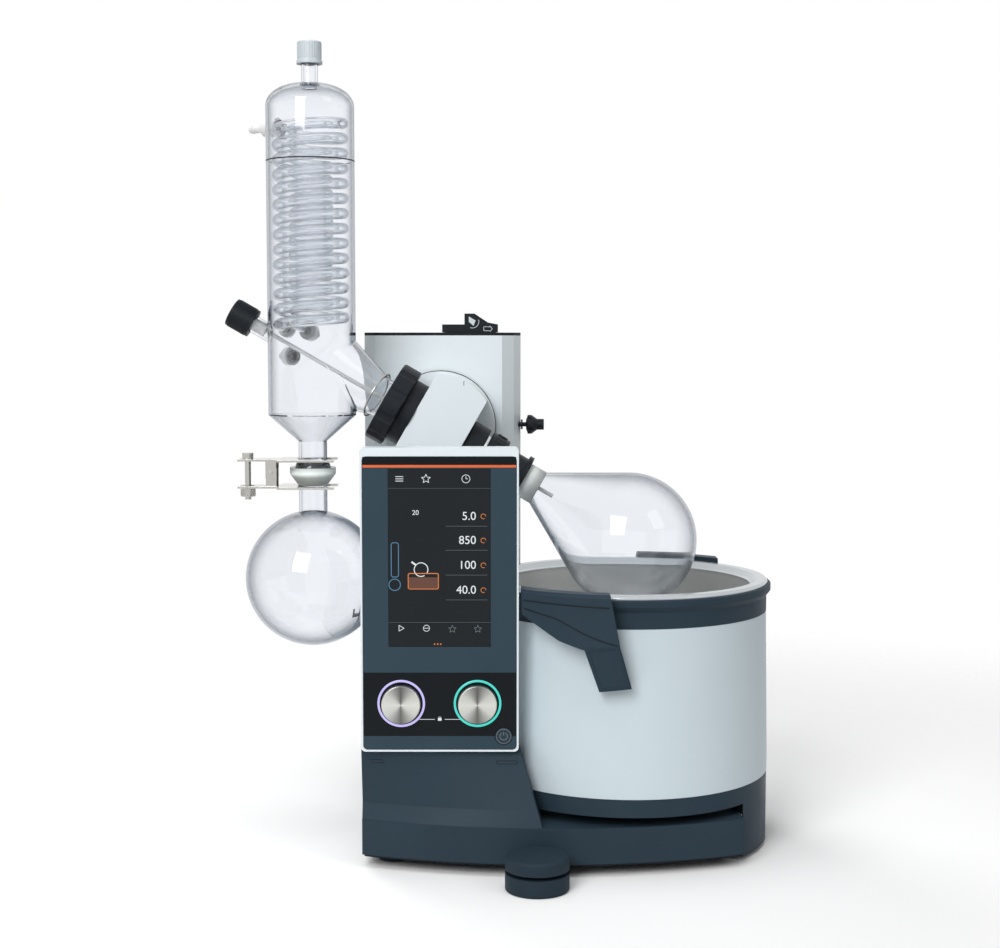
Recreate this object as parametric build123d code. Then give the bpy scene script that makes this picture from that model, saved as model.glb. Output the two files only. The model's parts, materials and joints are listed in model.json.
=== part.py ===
from build123d import *
import os
from math import cos, degrees, radians, sin, sqrt, tan

os.makedirs("parts", exist_ok=True)

# Rotary evaporator on a bench, in millimetres: X runs right, Y to the back and Z up.
# While modelling, the tilt axis stands at X = 0 and the plane Y = 0 holds the drive axis, the
# condenser and the middle of the bath. At the end the part moves so that its origin is the middle
# of its footprint, on the bench.

# Fits between pieces
running_fit = 0.05
turning_gap = 0.4
seat_gap = 0.2
glass_gap = 0.3

# Drive head: a drum about the tilt axis, with a flat on each side square to the drive axis
drive_angle = 30
tilt_height = 396
drum_radius = 55
drum_front = 30
drum_back = 86
drum_wall = 5
disc_wall = 2
flat_reach = 27
flat_wall = 6
disc_start = 46
cover_thickness = 4
journal_radius = 38
journal_bore = 28
journal_length = 46

# Hub and its drive
hub_radius = 15
hub_bore = 10.8
hub_inset = 1
hub_flange_edge = 1
bearing_radius = 23.5
bearing_width = 9
pulley_radius = 21
pulley_low = 4
pulley_width = 10
motor_pulley_radius = 8
motor_radius = 14
motor_length = 48
motor_back = 65.7
motor_shaft_radius = 2.5
motor_shaft_depth = 8
motor_gap = 2
belt_thickness = 1.8
belt_width = 8

# Pieces in front of the hub, towards the flask
hub_flange_radius = 25.9
hub_flange_end = 45.5
hub_waist_radius = 20
hub_waist_end = 48.3
hub_nose_radius = 16.8
hub_nose_end = 76
release_ring_radius = 25.3
release_ring_length = 18.5
release_pin_radius = 5
release_pin_length = 8
release_pin_sink = 3
release_ring_edge = 1
clip_sleeve_radius = 19.6
clip_lip_radius = 23.1
clip_lip_length = 4
clip_end = 94.5

# Glass
glass_wall = 2.2
flask_radius = 65.5
flask_neck_radius = 16.8
flask_cone_angle = 30
flask_mouth = 78.5
flask_cone_length = 69.2
flask_centre = flask_mouth + flask_cone_length + flask_radius
joint_length = 32
joint_wide = 14.6
joint_narrow = 13
vapour_radius = 10.4
vapour_wall = 2
vapour_start = -51

# Union nut and collar behind the hub, towards the condenser
collar_radius = 32
collar_thread_radius = 28
collar_step = -40
collar_end = -52
collar_bore = 15.5
seal_radius = 22
seal_length = 11
nut_radius = 39.8
nut_lobes = 10
nut_scallop_radius = 9
nut_scallop_depth = 1.8
nut_edge = 1.2
nut_far = -58.6
glass_flange_radius = 26
glass_flange_thickness = 3.8
arm_radius = 19.5
arm_straight = 8
arm_spread = 18.3
arm_reach = 122

# Condenser
condenser_x = -120.7
jacket_radius = 42.1
jacket_lift = 14.6
jacket_length = 292.7
dome_rise = 21.7
top_neck_radius = 8
top_neck_length = 32
drip_neck_radius = 13.7
drip_cone = 25.2
drip_drop = 28.4
ball_radius = 17.5
ball_rim = 12
jacket_low = tilt_height + jacket_lift
jacket_high = jacket_low + jacket_length
dome_top = jacket_high + dome_rise
top_neck_end = dome_top + top_neck_length
drip_neck_high = jacket_low - drip_cone
ball_height = drip_neck_high - drip_drop
ball_cut = ball_height - ball_rim
port_radius = 8.5
port_start = -160
port_end = -215
feed_radius = 2
feed_bore = 1.2
feed_end = 128
feed_plug_length = 25
coil_rise = 86.4
coil_top_gap = 15.3
outer_coil_radius = 31.2
outer_coil_tube = 5.3
outer_coil_pitch = 14.1
coil_low = jacket_low + coil_rise
outer_coil_turns = int((jacket_length - coil_rise - coil_top_gap) / outer_coil_pitch - 0.5) + 0.5
inner_coil_radius = 17.5
inner_coil_tube = 4
inner_coil_turns = 14 + 190 / 360
coil_tube_wall = 1.2
inner_coil_start = 170
coil_port_reach = 56
stub_radius = 6
stub_bore = 4
stub_reach = 56
vent_drop = 15.3
vent_height = jacket_high - vent_drop
vent_angle = 140
vacuum_rise = 56
vacuum_height = jacket_low + vacuum_rise
vacuum_angle = 121
nozzle_cap_radius = 9
nozzle_cap_length = 15
nozzle_seat = 9
nozzle_edge = 0.8
stem_radius = 4
stem_length = 13
barb_tip = 3.3
barb_bore = 2.4
barb_length = 8

# Screw caps
top_cap_radius = 11.4
top_cap_cover = 14
top_cap_length = 21.2
top_cap_low = top_neck_end - top_cap_cover
top_cap_high = top_cap_low + top_cap_length
top_cap_lip = 0.9
top_cap_lip_height = 3
cap_round = 1.5
feed_cap_radius = 13.9
feed_cap_length = 23.8
feed_cap_roof = 12.6

# Receiving flask and its joint clip
cup_radius = 21.8
cup_height = 3
cup_depth = 14
receiver_neck_radius = 13.7
receiver_neck_length = 24.5
cup_low = ball_height - cup_depth
receiver_centre = cup_low - receiver_neck_length - flask_radius
jaw_thickness = 2
jaw_slot = 15
jaw_half_width = 25
jaw_tail = 32
jaw_tail_half = 12
jaw_back = 71.3
jaw_front = 22.1
jaw_rise = 9.4
jaw_drop = 0.6
clip_pivot_away = 39.3
clip_pivot_drop = 2
jaw_left = condenser_x - jaw_back
jaw_right = condenser_x + jaw_front
upper_jaw_low = ball_height + jaw_rise
lower_jaw_high = cup_low - jaw_drop
clip_pivot_x = condenser_x - clip_pivot_away
clip_pivot_height = ball_height - clip_pivot_drop
clip_pin_radius = 2
clip_cheek = 5
clip_cheek_wall = 2
clip_upper_cheek = 10
clip_lower_cheek = 7.5
clip_pin_end = 1
clip_screw_away = 62.8
clip_screw_x = condenser_x - clip_screw_away
clip_screw_radius = 3
clip_screw_head = 2.5
clip_screw_gap = 1
clip_screw_swing = 3
clip_screw_drop = 28
clip_screw_rise = 17
clip_screw_low = ball_height - clip_screw_drop
clip_screw_high = ball_height + clip_screw_rise
clip_nut_radius = 7
clip_nut_height = 8

# Column: a sleeve that rises on a mast
sleeve_left = -78
sleeve_right = 81
sleeve_front = 88
sleeve_back = 185
sleeve_low = 47
sleeve_rise = 91
sleeve_high = tilt_height + sleeve_rise
sleeve_wall = 2.5
chamfer_left = 11
chamfer_right = 12
shoulder_right = 74
shoulder_back = 112
lid_thickness = 3
rear_cover_thickness = 2.5
rear_cover_margin = 8
journal_clearance = 1
bush_radius = 48
bush_length = 38
mast_half_width = 48
mast_front = 150
mast_back = 178
mast_wall = 4
mast_drop = 17
mast_high = sleeve_high - mast_drop
mast_foot = 5
mast_plate_front = 4
mast_bridge = 8
rail_x = 34
rail_radius = 6
screw_y = 158
spindle_radius = 7
spindle_journal = 4
spindle_journal_depth = 12
spindle_end_gap = 1
lift_motor_half = 16
lift_motor_height = 22
lift_motor_floor = 8
carriage_low = 78
carriage_high = 175
carriage_left = -60
carriage_right = 55
carriage_plate = 6
carriage_web = 6
carriage_web_x = 30
carriage_neck_half = 20
carriage_neck_gap = 4
guide_front = 3
slider_x = 1.2
slider_length = 56.6
slider_height = 8
slider_hump = 19
slider_front = 93
slider_depth = 12
slider_hump_start = 0.4
slider_hump_end = 0.58
slider_nose = 0.82
slider_nose_rise = 2
tongue_side = 4
tongue_end = 2
groove_left = 1
groove_right = 16
lock_y = 110
lock_stem_radius = 2.2
lock_washer_radius = 5.1
lock_washer_end = 2.2
lock_knob_start = 86.6
lock_knob_end = 104.9
lock_back_radius = 4.5
lock_back_taper = 1.9
lock_flange_radius = 9.9
lock_flange_end = 92.2
lock_grip_radius = 5.6
lock_grip_start = 98
lock_notches = 6
lock_notch_radius = 3.4
lock_notch_away = 2
hook_height = 192
hook_plate = 50
hook_reach = 9
hook_bar = 4
hook_wall = 2
hook_width = 14
hook_inset = 8
hook_side = 4
hook_tip = 8

# Heating bath
bath_left = 43.6
bath_shell_radius = 137.7
bath_shell_taper = 2.3
bath_shell_straight = 20
bath_shell_wall = 1.5
bath_shell_height = 154.3
bath_base_low = 54
bath_base_height = 16.7
bath_base_step = 0.3
bath_base_floor = 4
bath_ledge_low = 8
bath_ledge_high = 6
bath_ledge_wall = 4
bath_post_radius = 4
bath_post_gap = 10
bath_post_turns = (30, 150, 270)
bath_skirt_low = 4
bath_skirt_wall = 4
bath_skirt_gap = 2
collar_height = 23.6
collar_step_out = 0.2
collar_clearance = 3
vessel_gap = 17.7
vessel_wall = 1.5
vessel_lift = 32
vessel_chamfer = 12
vessel_flare = 5
vessel_mouth = 6
rim_inset = 1.2
rim_height = 6
rim_roll = 2
lip_width = 3
lip_start = 15
lip_rise = 2.9
lip_slope = 5
lip_edge = 1
heater_width = 46
heater_inset = 24
heater_height = 6
handle_reach = 18.5
handle_taper = 8
handle_drop = 13
handle_leg = 60
handle_rise = 3.7
handle_edge = 3
handle_root = 1
# the grip seen from the front, as (x, z) from the bath's axis and the shell's top: a wing with one leg
handle_outline = [
    (-102.3, 37), (-24.8, 37), (-23.3, 28.7), (-15.5, -12.4), (-4.6, -50.4),
    (-33.3, -54), (-46.7, -16.2), (-68.7, -9.3), (-102.3, 11.7),
]
bath_x = bath_left + bath_shell_radius
bath_shell_top_radius = bath_shell_radius - bath_shell_taper
bath_shell_low = bath_base_low + bath_base_height
bath_shell_high = bath_shell_low + bath_shell_height
bath_base_radius = bath_shell_radius - bath_base_step
vessel_radius = bath_shell_radius - vessel_gap
vessel_floor = bath_base_low + vessel_lift
collar_outer = bath_shell_top_radius + collar_step_out
collar_inner = vessel_radius + vessel_wall + collar_clearance
collar_high = bath_shell_high + collar_height
rim_radius = bath_shell_radius - rim_inset
rim_low = collar_high + turning_gap
rim_high = rim_low + rim_height
lip_radius = rim_radius + lip_width
lip_low = bath_shell_high + lip_start
lip_high = collar_high + lip_rise
heater_outer = vessel_radius - heater_inset
heater_inner = heater_outer - heater_width
handle_outer = lip_radius + handle_reach
handle_foot = handle_outer - handle_taper
handle_knee = bath_shell_high - handle_drop
handle_low = bath_shell_high - handle_leg
handle_high = rim_high + handle_rise
runner_y = 58
runner_width = 14
runner_height = 5
runner_left = 70
shoe_length = 150
runner_margin = 6

# Base
base_left = -66.5
base_arm = 101.7
base_right = bath_x + base_arm
base_corner = -109
base_bow = -140.5
arm_back = 108
tail_right = 96
base_back = 199.5
base_low = 12
base_high = 45
base_wall = 4
bottom_thickness = 2
bottom_inset = 2
foot_radius = 13
foot_taper = 2
foot_inset = 33
foot_right = base_right - foot_inset
foot_places = [(-40, -80), (-40, 172), (70, 172), (foot_right, 70), (foot_right, -70)]
inlet_width = 28
inlet_height = 22
inlet_depth = 22
inlet_wall = 2
inlet_floor = 4
inlet_pin_size = (2, 12, 4)
inlet_pins = [(-7, -2), (7, -2), (0, 4)]
supply_length = 130
supply_width = 90
supply_height = 22
skirt_high = 110.8
skirt_top_front = -115
skirt_crease = 60
skirt_step = 6
skirt_top_bow = 1
skirt_back = -62
skirt_top_right = 77.8
skirt_bottom_right = 98.3
skirt_wall = 3
skirt_bath_gap = 3
front_foot_x = 92.7
front_foot_y = -171
front_foot_radius = 28.5
front_foot_height = 31
front_foot_split = 17.4
front_foot_arm = 2.6
front_foot_arm_width = 24
front_foot_stud = 5
front_foot_round = 3
front_foot_edge = 2
front_foot_riser = 18

# Control panel
panel_left = -65.6
panel_right = 76.8
panel_low = 111
panel_high = 386.8
panel_front = -122
panel_depth = 20
panel_wall = 2.4
panel_corner = 4
panel_ledge = 2
panel_bar = 3
fascia_thickness = 2
fascia_top = 379
fascia_margin = 1.8
display_left = -40.2
display_right = 51.4
display_low = 207.1
display_high = 367.7
display_depth = 5
display_sink = 0.3
knob_height = 155.4
left_knob_x = -29.3
right_knob_x = 39.6
knob_radius = 17.6
knob_length = 7
knob_gap = 1.6
knob_stem_radius = 3
knob_cap = 3
knob_edge = 1.2
knob_stem_end = 3
encoder_half = 7
button_x = 63.2
button_height = 125.4
button_radius = 7.5
button_proud = 0.8
button_back = 5.8
switch_half = 5
switch_front = 7
board_thickness = 1.6
board_back = 6
board_margin = 8
board_post_radius = 3
board_post_inset = 5
board_post_margin = 14
encoder_floor = 1
bracket_thickness = 5
bracket_width = 80
bracket_high = 250
bracket_shift = 18

drive = Plane(
    origin=(0, 0, tilt_height),
    x_dir=(sin(radians(drive_angle)), 0, cos(radians(drive_angle))),
    z_dir=(cos(radians(drive_angle)), 0, -sin(radians(drive_angle))),
)
tilt = Plane(origin=(0, 0, tilt_height), x_dir=(1, 0, 0), z_dir=(0, 1, 0))
condenser = Pos(condenser_x, 0, 0)
bath = Pos(bath_x, 0, 0)


def block(x0, x1, y0, y1, z0, z1):
    return Pos((x0 + x1) / 2, (y0 + y1) / 2, (z0 + z1) / 2) * Box(x1 - x0, y1 - y0, z1 - z0)


def rod(radius, low, high):
    return Pos(0, 0, (low + high) / 2) * Cylinder(radius, high - low)


def tube(outer, inner, low, high):
    return rod(outer, low, high) - rod(inner, low, high)


def turned(*outline):
    # a closed outline of (radius, height) points, turned about Z
    points = [(radius, 0, height) for radius, height in outline]
    return revolve(make_face(Polyline(*points, close=True)), Axis.Z)


def facing_front(x, height, low, high, radius):
    # a rod along Y, from Y = low to Y = high
    return Plane(origin=(x, 0, height), x_dir=(1, 0, 0), z_dir=(0, 1, 0)) * rod(radius, low, high)


def flask_edges(radius, neck, angle, centre, mouth):
    # half outline of a flask from its mouth to its far pole, with a cone that runs into the ball
    slope = radians(angle)
    touch = (radius * cos(slope), 0, centre - radius * sin(slope))
    shoulder = (neck, 0, touch[2] - (touch[0] - neck) / tan(slope))
    return [
        Line((neck, 0, mouth), shoulder),
        Line(shoulder, touch),
        ThreePointArc(touch, (radius, 0, centre), (0, 0, centre + radius)),
    ]


# Base

def plinth_face(inset):
    middle = (base_left + base_right) / 2
    front = ThreePointArc((base_left, base_corner), (middle, base_bow), (base_right, base_corner))
    rest = Polyline(
        (base_right, base_corner),
        (base_right, arm_back),
        (tail_right, arm_back),
        (tail_right, base_back),
        (base_left, base_back),
        (base_left, base_corner),
    )
    face = make_face([front, rest])
    return offset(face, -inset, kind=Kind.INTERSECTION) if inset else face


def plinth(inset, low, high):
    return Pos(0, 0, low) * extrude(plinth_face(inset), high - low)


def foot_tongue(grow):
    # the flat bar that reaches out of the base through a notch in its front wall
    half = front_foot_arm_width / 2 + grow
    low = front_foot_split - front_foot_arm / 2 - grow
    high = front_foot_split + front_foot_arm / 2 + grow
    back = base_bow + base_wall + front_foot_arm_width
    bar = block(front_foot_x - half, front_foot_x + half, front_foot_y, back, low, high)
    return bar + Pos(front_foot_x, front_foot_y, 0) * rod(half, low, high)


def base_plate():
    plate = plinth(0, base_low, base_high) - plinth(base_wall, base_low, base_high - base_wall)
    inlet_z = (base_low + base_high - base_wall) / 2
    hole = Pos(0, base_back - base_wall / 2, inlet_z) * Box(
        inlet_width + 2 * seat_gap, 3 * base_wall, inlet_height + 2 * seat_gap
    )
    return plate - hole - foot_tongue(seat_gap)


def base_bottom():
    plate = plinth(bottom_inset, base_low - bottom_thickness, base_low)
    half = front_foot_arm_width / 2
    back = base_bow + base_wall + front_foot_arm_width
    riser = block(front_foot_x - half, front_foot_x + half, back - front_foot_riser, back,
                  base_low, front_foot_split + front_foot_arm / 2)
    bore = Pos(front_foot_x, front_foot_y, 0) * rod(front_foot_stud + turning_gap, 0, base_high)
    return plate + riser + (foot_tongue(0) - bore)


def rubber_feet():
    height = base_low - bottom_thickness
    foot = Pos(0, 0, height / 2) * Cone(foot_radius, foot_radius - foot_taper, height)
    return [Pos(x, y, 0) * foot for x, y in foot_places]


def mains_inlet():
    inlet_z = (base_low + base_high - base_wall) / 2
    back = base_back
    floor = back - inlet_depth

    def box(inset, front):
        half = inlet_width / 2 - inset
        reach = inlet_height / 2 - inset
        return block(-half, half, front, back, inlet_z - reach, inlet_z + reach)

    pin_y = floor + inlet_floor + inlet_pin_size[1] / 2
    body = box(0, floor)
    recess = box(inlet_wall, floor + inlet_floor)
    pins = [Pos(x, pin_y, inlet_z + z) * Box(*inlet_pin_size) for x, z in inlet_pins]
    return body - recess + pins


def power_supply():
    middle = base_low + supply_height / 2
    return Pos(bath_x, 0, middle) * Box(supply_length, supply_width, supply_height)


def bow_at(x):
    # the plinth's front edge, a shallow arc
    half = (base_right - base_left) / 2
    sag = base_corner - base_bow
    radius = (half * half + sag * sag) / (2 * sag)
    away = x - (base_left + base_right) / 2
    return base_bow + radius - sqrt(radius * radius - away * away)


def skirt_section(z, right, fronts, wall):
    left = base_left + seat_gap + wall
    middle = (left + right) / 2
    edge = [(x, fronts(x) + wall) for x in (left, middle, right)]
    back = skirt_back - wall
    rest = Polyline(edge[2], (right, back), (left, back), edge[0])
    return Pos(0, 0, z) * make_face([ThreePointArc(*edge), rest])


def skirt_solid(wall):
    # a bowed foot, a chamfer up to the crease and a front that flattens out under the panel
    def right_at(z):
        share = (z - base_high) / (skirt_high - base_high)
        return skirt_bottom_right + share * (skirt_top_right - skirt_bottom_right) - wall

    def foot(x):
        return bow_at(x) + seat_gap

    def crease(x):
        return bow_at(x) + skirt_step

    def top(x):
        across = (x - base_left) / (skirt_top_right - base_left) * 2 - 1
        return skirt_top_front - skirt_top_bow * (1 - across**2)

    levels = [(base_high, foot), (skirt_crease, crease), (skirt_high - wall, top)]
    sections = [skirt_section(z, right_at(z), fronts, wall) for z, fronts in levels]
    solid = loft(sections, ruled=True)
    clear = bath_shell_radius + skirt_bath_gap + wall
    return solid - bath * rod(clear, base_high - 1, skirt_high + 1)


def base_skirt():
    # the hollow skirt with an upright at its back that the panel hangs on
    back = panel_front + panel_depth
    middle = (panel_left + panel_right) / 2 - bracket_shift
    upright = block(middle - bracket_width / 2, middle + bracket_width / 2, back, back + bracket_thickness,
                    skirt_high - 1, bracket_high)
    return skirt_solid(0) - skirt_solid(skirt_wall) + upright


def bath_runners():
    right = base_right - runner_margin
    half = runner_width / 2
    high = base_high + runner_height
    return [block(runner_left, right, y - half, y + half, base_high, high) for y in (-runner_y, runner_y)]


def front_foot():
    low = front_foot_split - front_foot_arm / 2 - turning_gap
    high = front_foot_split + front_foot_arm / 2 + turning_gap
    knob = rod(front_foot_radius, high, front_foot_height)
    knob = fillet(knob.edges().group_by(Axis.Z)[-1], front_foot_round)
    pad = rod(front_foot_radius, 0, low)
    pad = fillet(pad.edges().group_by(Axis.Z)[0], front_foot_edge)
    return Pos(front_foot_x, front_foot_y, 0) * (knob + pad + rod(front_foot_stud, low, high))


# Column and lift

def sleeve_face(inset):
    outline = Polyline(
        (sleeve_left, sleeve_front + chamfer_left),
        (sleeve_left + chamfer_left, sleeve_front),
        (shoulder_right - chamfer_right, sleeve_front),
        (shoulder_right, sleeve_front + chamfer_right),
        (sleeve_right, shoulder_back),
        (sleeve_right, sleeve_back),
        (sleeve_left, sleeve_back),
        close=True,
    )
    face = make_face(outline)
    return offset(face, -inset, kind=Kind.INTERSECTION) if inset else face


def column_sleeve():
    height = sleeve_high - sleeve_low
    wall = extrude(sleeve_face(0), height) - extrude(sleeve_face(sleeve_wall), height)
    sleeve = Pos(0, 0, sleeve_low) * wall
    journal_hole = journal_radius + journal_clearance
    sleeve -= facing_front(0, tilt_height, sleeve_front - 1, sleeve_front + sleeve_wall + 1, journal_hole)
    margin = rear_cover_margin + sleeve_wall
    sleeve -= block(sleeve_left + margin, sleeve_right - margin,
                    sleeve_back - sleeve_wall - 1, sleeve_back + 1,
                    sleeve_low + margin, sleeve_high - margin)
    lock_hole = Plane(origin=(0, lock_y, tilt_height), z_dir=(1, 0, 0)) * rod(
        lock_stem_radius + turning_gap, 0, sleeve_right + 1)
    return sleeve - lock_hole


def rear_cover():
    return block(sleeve_left + sleeve_wall, sleeve_right - sleeve_wall,
                 sleeve_back, sleeve_back + rear_cover_thickness,
                 sleeve_low + sleeve_wall, sleeve_high - sleeve_wall)


def column_lid():
    lid = Pos(0, 0, sleeve_high) * extrude(sleeve_face(0), lid_thickness)
    groove = block(slider_x - groove_left, slider_x + slider_length + groove_right,
                   slider_front + tongue_side, slider_front + slider_depth - tongue_side,
                   sleeve_high, sleeve_high + lid_thickness)
    return lid - groove


def top_slider():
    low = sleeve_high + lid_thickness + seat_gap
    x = slider_x
    outline = Polyline(
        (x, 0, low),
        (x + slider_length, 0, low),
        (x + slider_length, 0, low + slider_height),
        (x + slider_length * slider_nose, 0, low + slider_height + slider_nose_rise),
        (x + slider_length * slider_hump_end, 0, low + slider_hump),
        (x + slider_length * slider_hump_start, 0, low + slider_hump),
        (x + slider_length * slider_hump_start, 0, low + slider_height),
        (x, 0, low + slider_height),
        close=True,
    )
    body = Pos(0, slider_front, 0) * extrude(make_face(outline), slider_depth, dir=(0, 1, 0))
    side = tongue_side + turning_gap
    tongue = block(x + tongue_end, x + slider_length - tongue_end,
                   slider_front + side, slider_front + slider_depth - side,
                   low - lid_thickness, low)
    return body + tongue


def lift_carriage():
    gap = turning_gap
    inner = mast_half_width - mast_wall - gap
    near = mast_front - guide_front
    far = mast_back - mast_wall - gap
    guide = block(-inner, inner, near, far, carriage_low, carriage_high)
    front = sleeve_front + sleeve_wall
    back = front + carriage_plate
    plate = block(carriage_left, carriage_right, front, back, carriage_low, carriage_high)
    half = carriage_web / 2
    webs = [block(x - half, x + half, back, near, carriage_low, carriage_high)
            for x in (-carriage_web_x, carriage_web_x)]
    neck_high = tilt_height - journal_radius - carriage_neck_gap
    neck = block(-carriage_neck_half, carriage_neck_half, front, back, carriage_high, neck_high)
    bush = tilt * rod(bush_radius, front, front + bush_length)
    carriage = guide + plate + webs + neck + bush
    carriage -= tilt * rod(journal_radius + running_fit, front, front + bush_length)
    for x in (-rail_x, rail_x):
        carriage -= Pos(x, screw_y, 0) * rod(rail_radius + running_fit, carriage_low, carriage_high)
    return carriage - Pos(0, screw_y, 0) * rod(spindle_radius + running_fit, carriage_low, carriage_high)


def lift_mast():
    foot = base_high + mast_foot
    top = mast_high - mast_bridge
    inner = mast_half_width - mast_wall
    web_front = mast_back - mast_wall
    web = block(-mast_half_width, mast_half_width, web_front, mast_back, foot, mast_high)
    side = block(inner, mast_half_width, mast_front, web_front, foot, mast_high)
    plate_front = mast_front - mast_plate_front
    plate = block(-mast_half_width, mast_half_width, plate_front, mast_back, base_high, foot)
    bridge = block(-inner, inner, mast_front, web_front, top, mast_high)
    mast = web + side + mirror(side, Plane.YZ) + plate + bridge
    return mast - Pos(0, screw_y, 0) * rod(spindle_journal + running_fit, top, mast_high)


def mast_rails():
    rail = rod(rail_radius, base_high + mast_foot, mast_high - mast_bridge)
    return [Pos(x, screw_y, 0) * rail for x in (-rail_x, rail_x)]


def lift_motor():
    low = base_high + mast_foot
    high = low + lift_motor_height
    back = mast_back - mast_wall
    body = block(-lift_motor_half, lift_motor_half, back - 2 * lift_motor_half, back, low, high)
    return body - Pos(0, screw_y, 0) * rod(spindle_journal + running_fit, low + lift_motor_floor, high)


def lift_spindle():
    low = base_high + mast_foot + lift_motor_height
    top = mast_high - mast_bridge
    spindle = rod(spindle_radius, low + seat_gap, top - seat_gap)
    spindle += rod(spindle_journal, low - spindle_journal_depth, low + seat_gap)
    spindle += rod(spindle_journal, top - seat_gap, mast_high - spindle_end_gap)
    return Pos(0, screw_y, 0) * spindle


def tilt_lock():
    axis = Plane(origin=(0, lock_y, tilt_height), z_dir=(1, 0, 0))
    stem = rod(lock_stem_radius, bush_radius + seat_gap, lock_knob_start)
    washer = rod(lock_washer_radius, sleeve_right + turning_gap, sleeve_right + lock_washer_end)
    knob = turned(
        (0, lock_knob_start),
        (lock_back_radius, lock_knob_start),
        (lock_flange_radius, lock_knob_start + lock_back_taper),
        (lock_flange_radius, lock_flange_end),
        (lock_grip_radius, lock_grip_start),
        (lock_grip_radius, lock_knob_end),
        (0, lock_knob_end),
    )
    notch = rod(lock_notch_radius, lock_knob_start - 1, lock_grip_start)
    knob -= PolarLocations(lock_flange_radius + lock_notch_away, lock_notches) * notch
    return axis * (stem + washer + knob)


def hose_hook():
    right = sleeve_left
    root = right - hook_wall
    end = root - hook_reach
    front = sleeve_front + chamfer_left + hook_inset
    near = front + hook_side
    far = front + hook_width - hook_side
    plate = block(root, right, front, front + hook_width,
                  hook_height - hook_plate / 2, hook_height + hook_plate / 2)
    peg = block(end, root, near, far, hook_height - hook_bar / 2, hook_height + hook_bar / 2)
    tip = block(end, end + hook_wall, near, far, hook_height, hook_height + hook_tip)
    return plate + peg + tip


# Drive head

def drum(radius, low, high):
    return tilt * rod(radius, low, high)


def between_flats(reach, low, high):
    # the slab between two planes square to the drive axis
    depth = high - low
    return drive * Pos(0, -(low + high) / 2, 0) * Box(3 * drum_radius, depth, 2 * reach)


def head_housing():
    # a cup about the tilt axis, open at the back, where the flange of the journal closes it
    front = -drum_front
    body = drum(drum_radius, front, disc_start) & between_flats(flat_reach, front, disc_start)
    body += drum(drum_radius, disc_start, drum_back)
    inner = drum_radius - drum_wall
    floor = front + cover_thickness
    cavity = drum(inner, floor, drum_back) & between_flats(flat_reach - flat_wall, floor, drum_back)
    cavity += drum(inner, disc_start + disc_wall, drum_back)
    seats = drive * rod(bearing_radius, -flat_reach, flat_reach)
    return body - cavity - seats


def tilt_journal():
    flange = drum(drum_radius - drum_wall - seat_gap, drum_back - drum_wall, drum_back)
    flange += drum(journal_radius, drum_back, drum_back + journal_length)
    return flange - drum(journal_bore, drum_back, drum_back + journal_length)


def drive_motor():
    high = pulley_low - motor_gap
    low = high - motor_length
    bore = rod(motor_shaft_radius + running_fit, high - motor_shaft_depth, high)
    body = rod(motor_radius, low, high) - bore
    return drive * Pos(0, -motor_back, 0) * body


def motor_pulley():
    high = pulley_low + pulley_width
    pulley = rod(motor_pulley_radius, pulley_low, high)
    pulley += rod(motor_shaft_radius, pulley_low - motor_shaft_depth, pulley_low)
    return drive * Pos(0, -motor_back, 0) * pulley


def drive_belt():
    def loop(grow):
        wheels = Circle(pulley_radius + grow) + Pos(0, -motor_back) * Circle(motor_pulley_radius + grow)
        return make_hull(wheels.edges())

    band = loop(seat_gap + belt_thickness) - loop(seat_gap)
    low = pulley_low + (pulley_width - belt_width) / 2
    return drive * Pos(0, 0, low) * extrude(band, belt_width)


def hub_bearings():
    ring = tube(bearing_radius - seat_gap / 10, hub_radius, flat_reach - bearing_width, flat_reach)
    return [drive * ring, drive * mirror(ring, Plane.XY)]


def thread_collar():
    collar = turned(
        (collar_bore, -flat_reach),
        (collar_radius, -flat_reach),
        (collar_radius, collar_step),
        (collar_thread_radius, collar_step),
        (collar_thread_radius, collar_end),
        (seal_radius, collar_end),
        (seal_radius, collar_end + seal_length),
        (collar_bore, collar_end + seal_length),
    )
    return drive * collar


def shaft_seal():
    seal = tube(seal_radius - running_fit, vapour_radius + seat_gap, collar_end, collar_end + seal_length)
    return drive * seal


def union_nut():
    near = collar_step - turning_gap
    lip = collar_end - glass_flange_thickness - turning_gap
    nut = rod(nut_radius, nut_far, near)
    nut = chamfer(nut.edges(), nut_edge)
    scallop = rod(nut_scallop_radius, nut_far - 1, near + 1)
    nut -= PolarLocations(nut_radius + nut_scallop_radius - nut_scallop_depth, nut_lobes) * scallop
    nut -= rod(collar_thread_radius + turning_gap, lip, near)
    nut -= rod(arm_radius + turning_gap, nut_far, lip)
    return drive * nut


# Rotating pieces

def drive_hub():
    hub = turned(
        (hub_bore, hub_inset - flat_reach),
        (hub_radius - running_fit, hub_inset - flat_reach),
        (hub_radius - running_fit, pulley_low),
        (pulley_radius, pulley_low),
        (pulley_radius, pulley_low + pulley_width),
        (hub_radius - running_fit, pulley_low + pulley_width),
        (hub_radius - running_fit, hub_flange_end),
        (hub_waist_radius, hub_flange_end),
        (hub_waist_radius, hub_waist_end),
        (hub_nose_radius, hub_waist_end),
        (hub_nose_radius, hub_nose_end),
        (hub_bore, hub_nose_end),
    )
    return drive * hub


def hub_flange():
    flange = tube(hub_flange_radius, hub_radius, flat_reach + turning_gap, hub_flange_end)
    flange = chamfer(flange.edges().filter_by(GeomType.CIRCLE).sort_by(SortBy.RADIUS)[-2:], hub_flange_edge)
    return drive * flange


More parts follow.
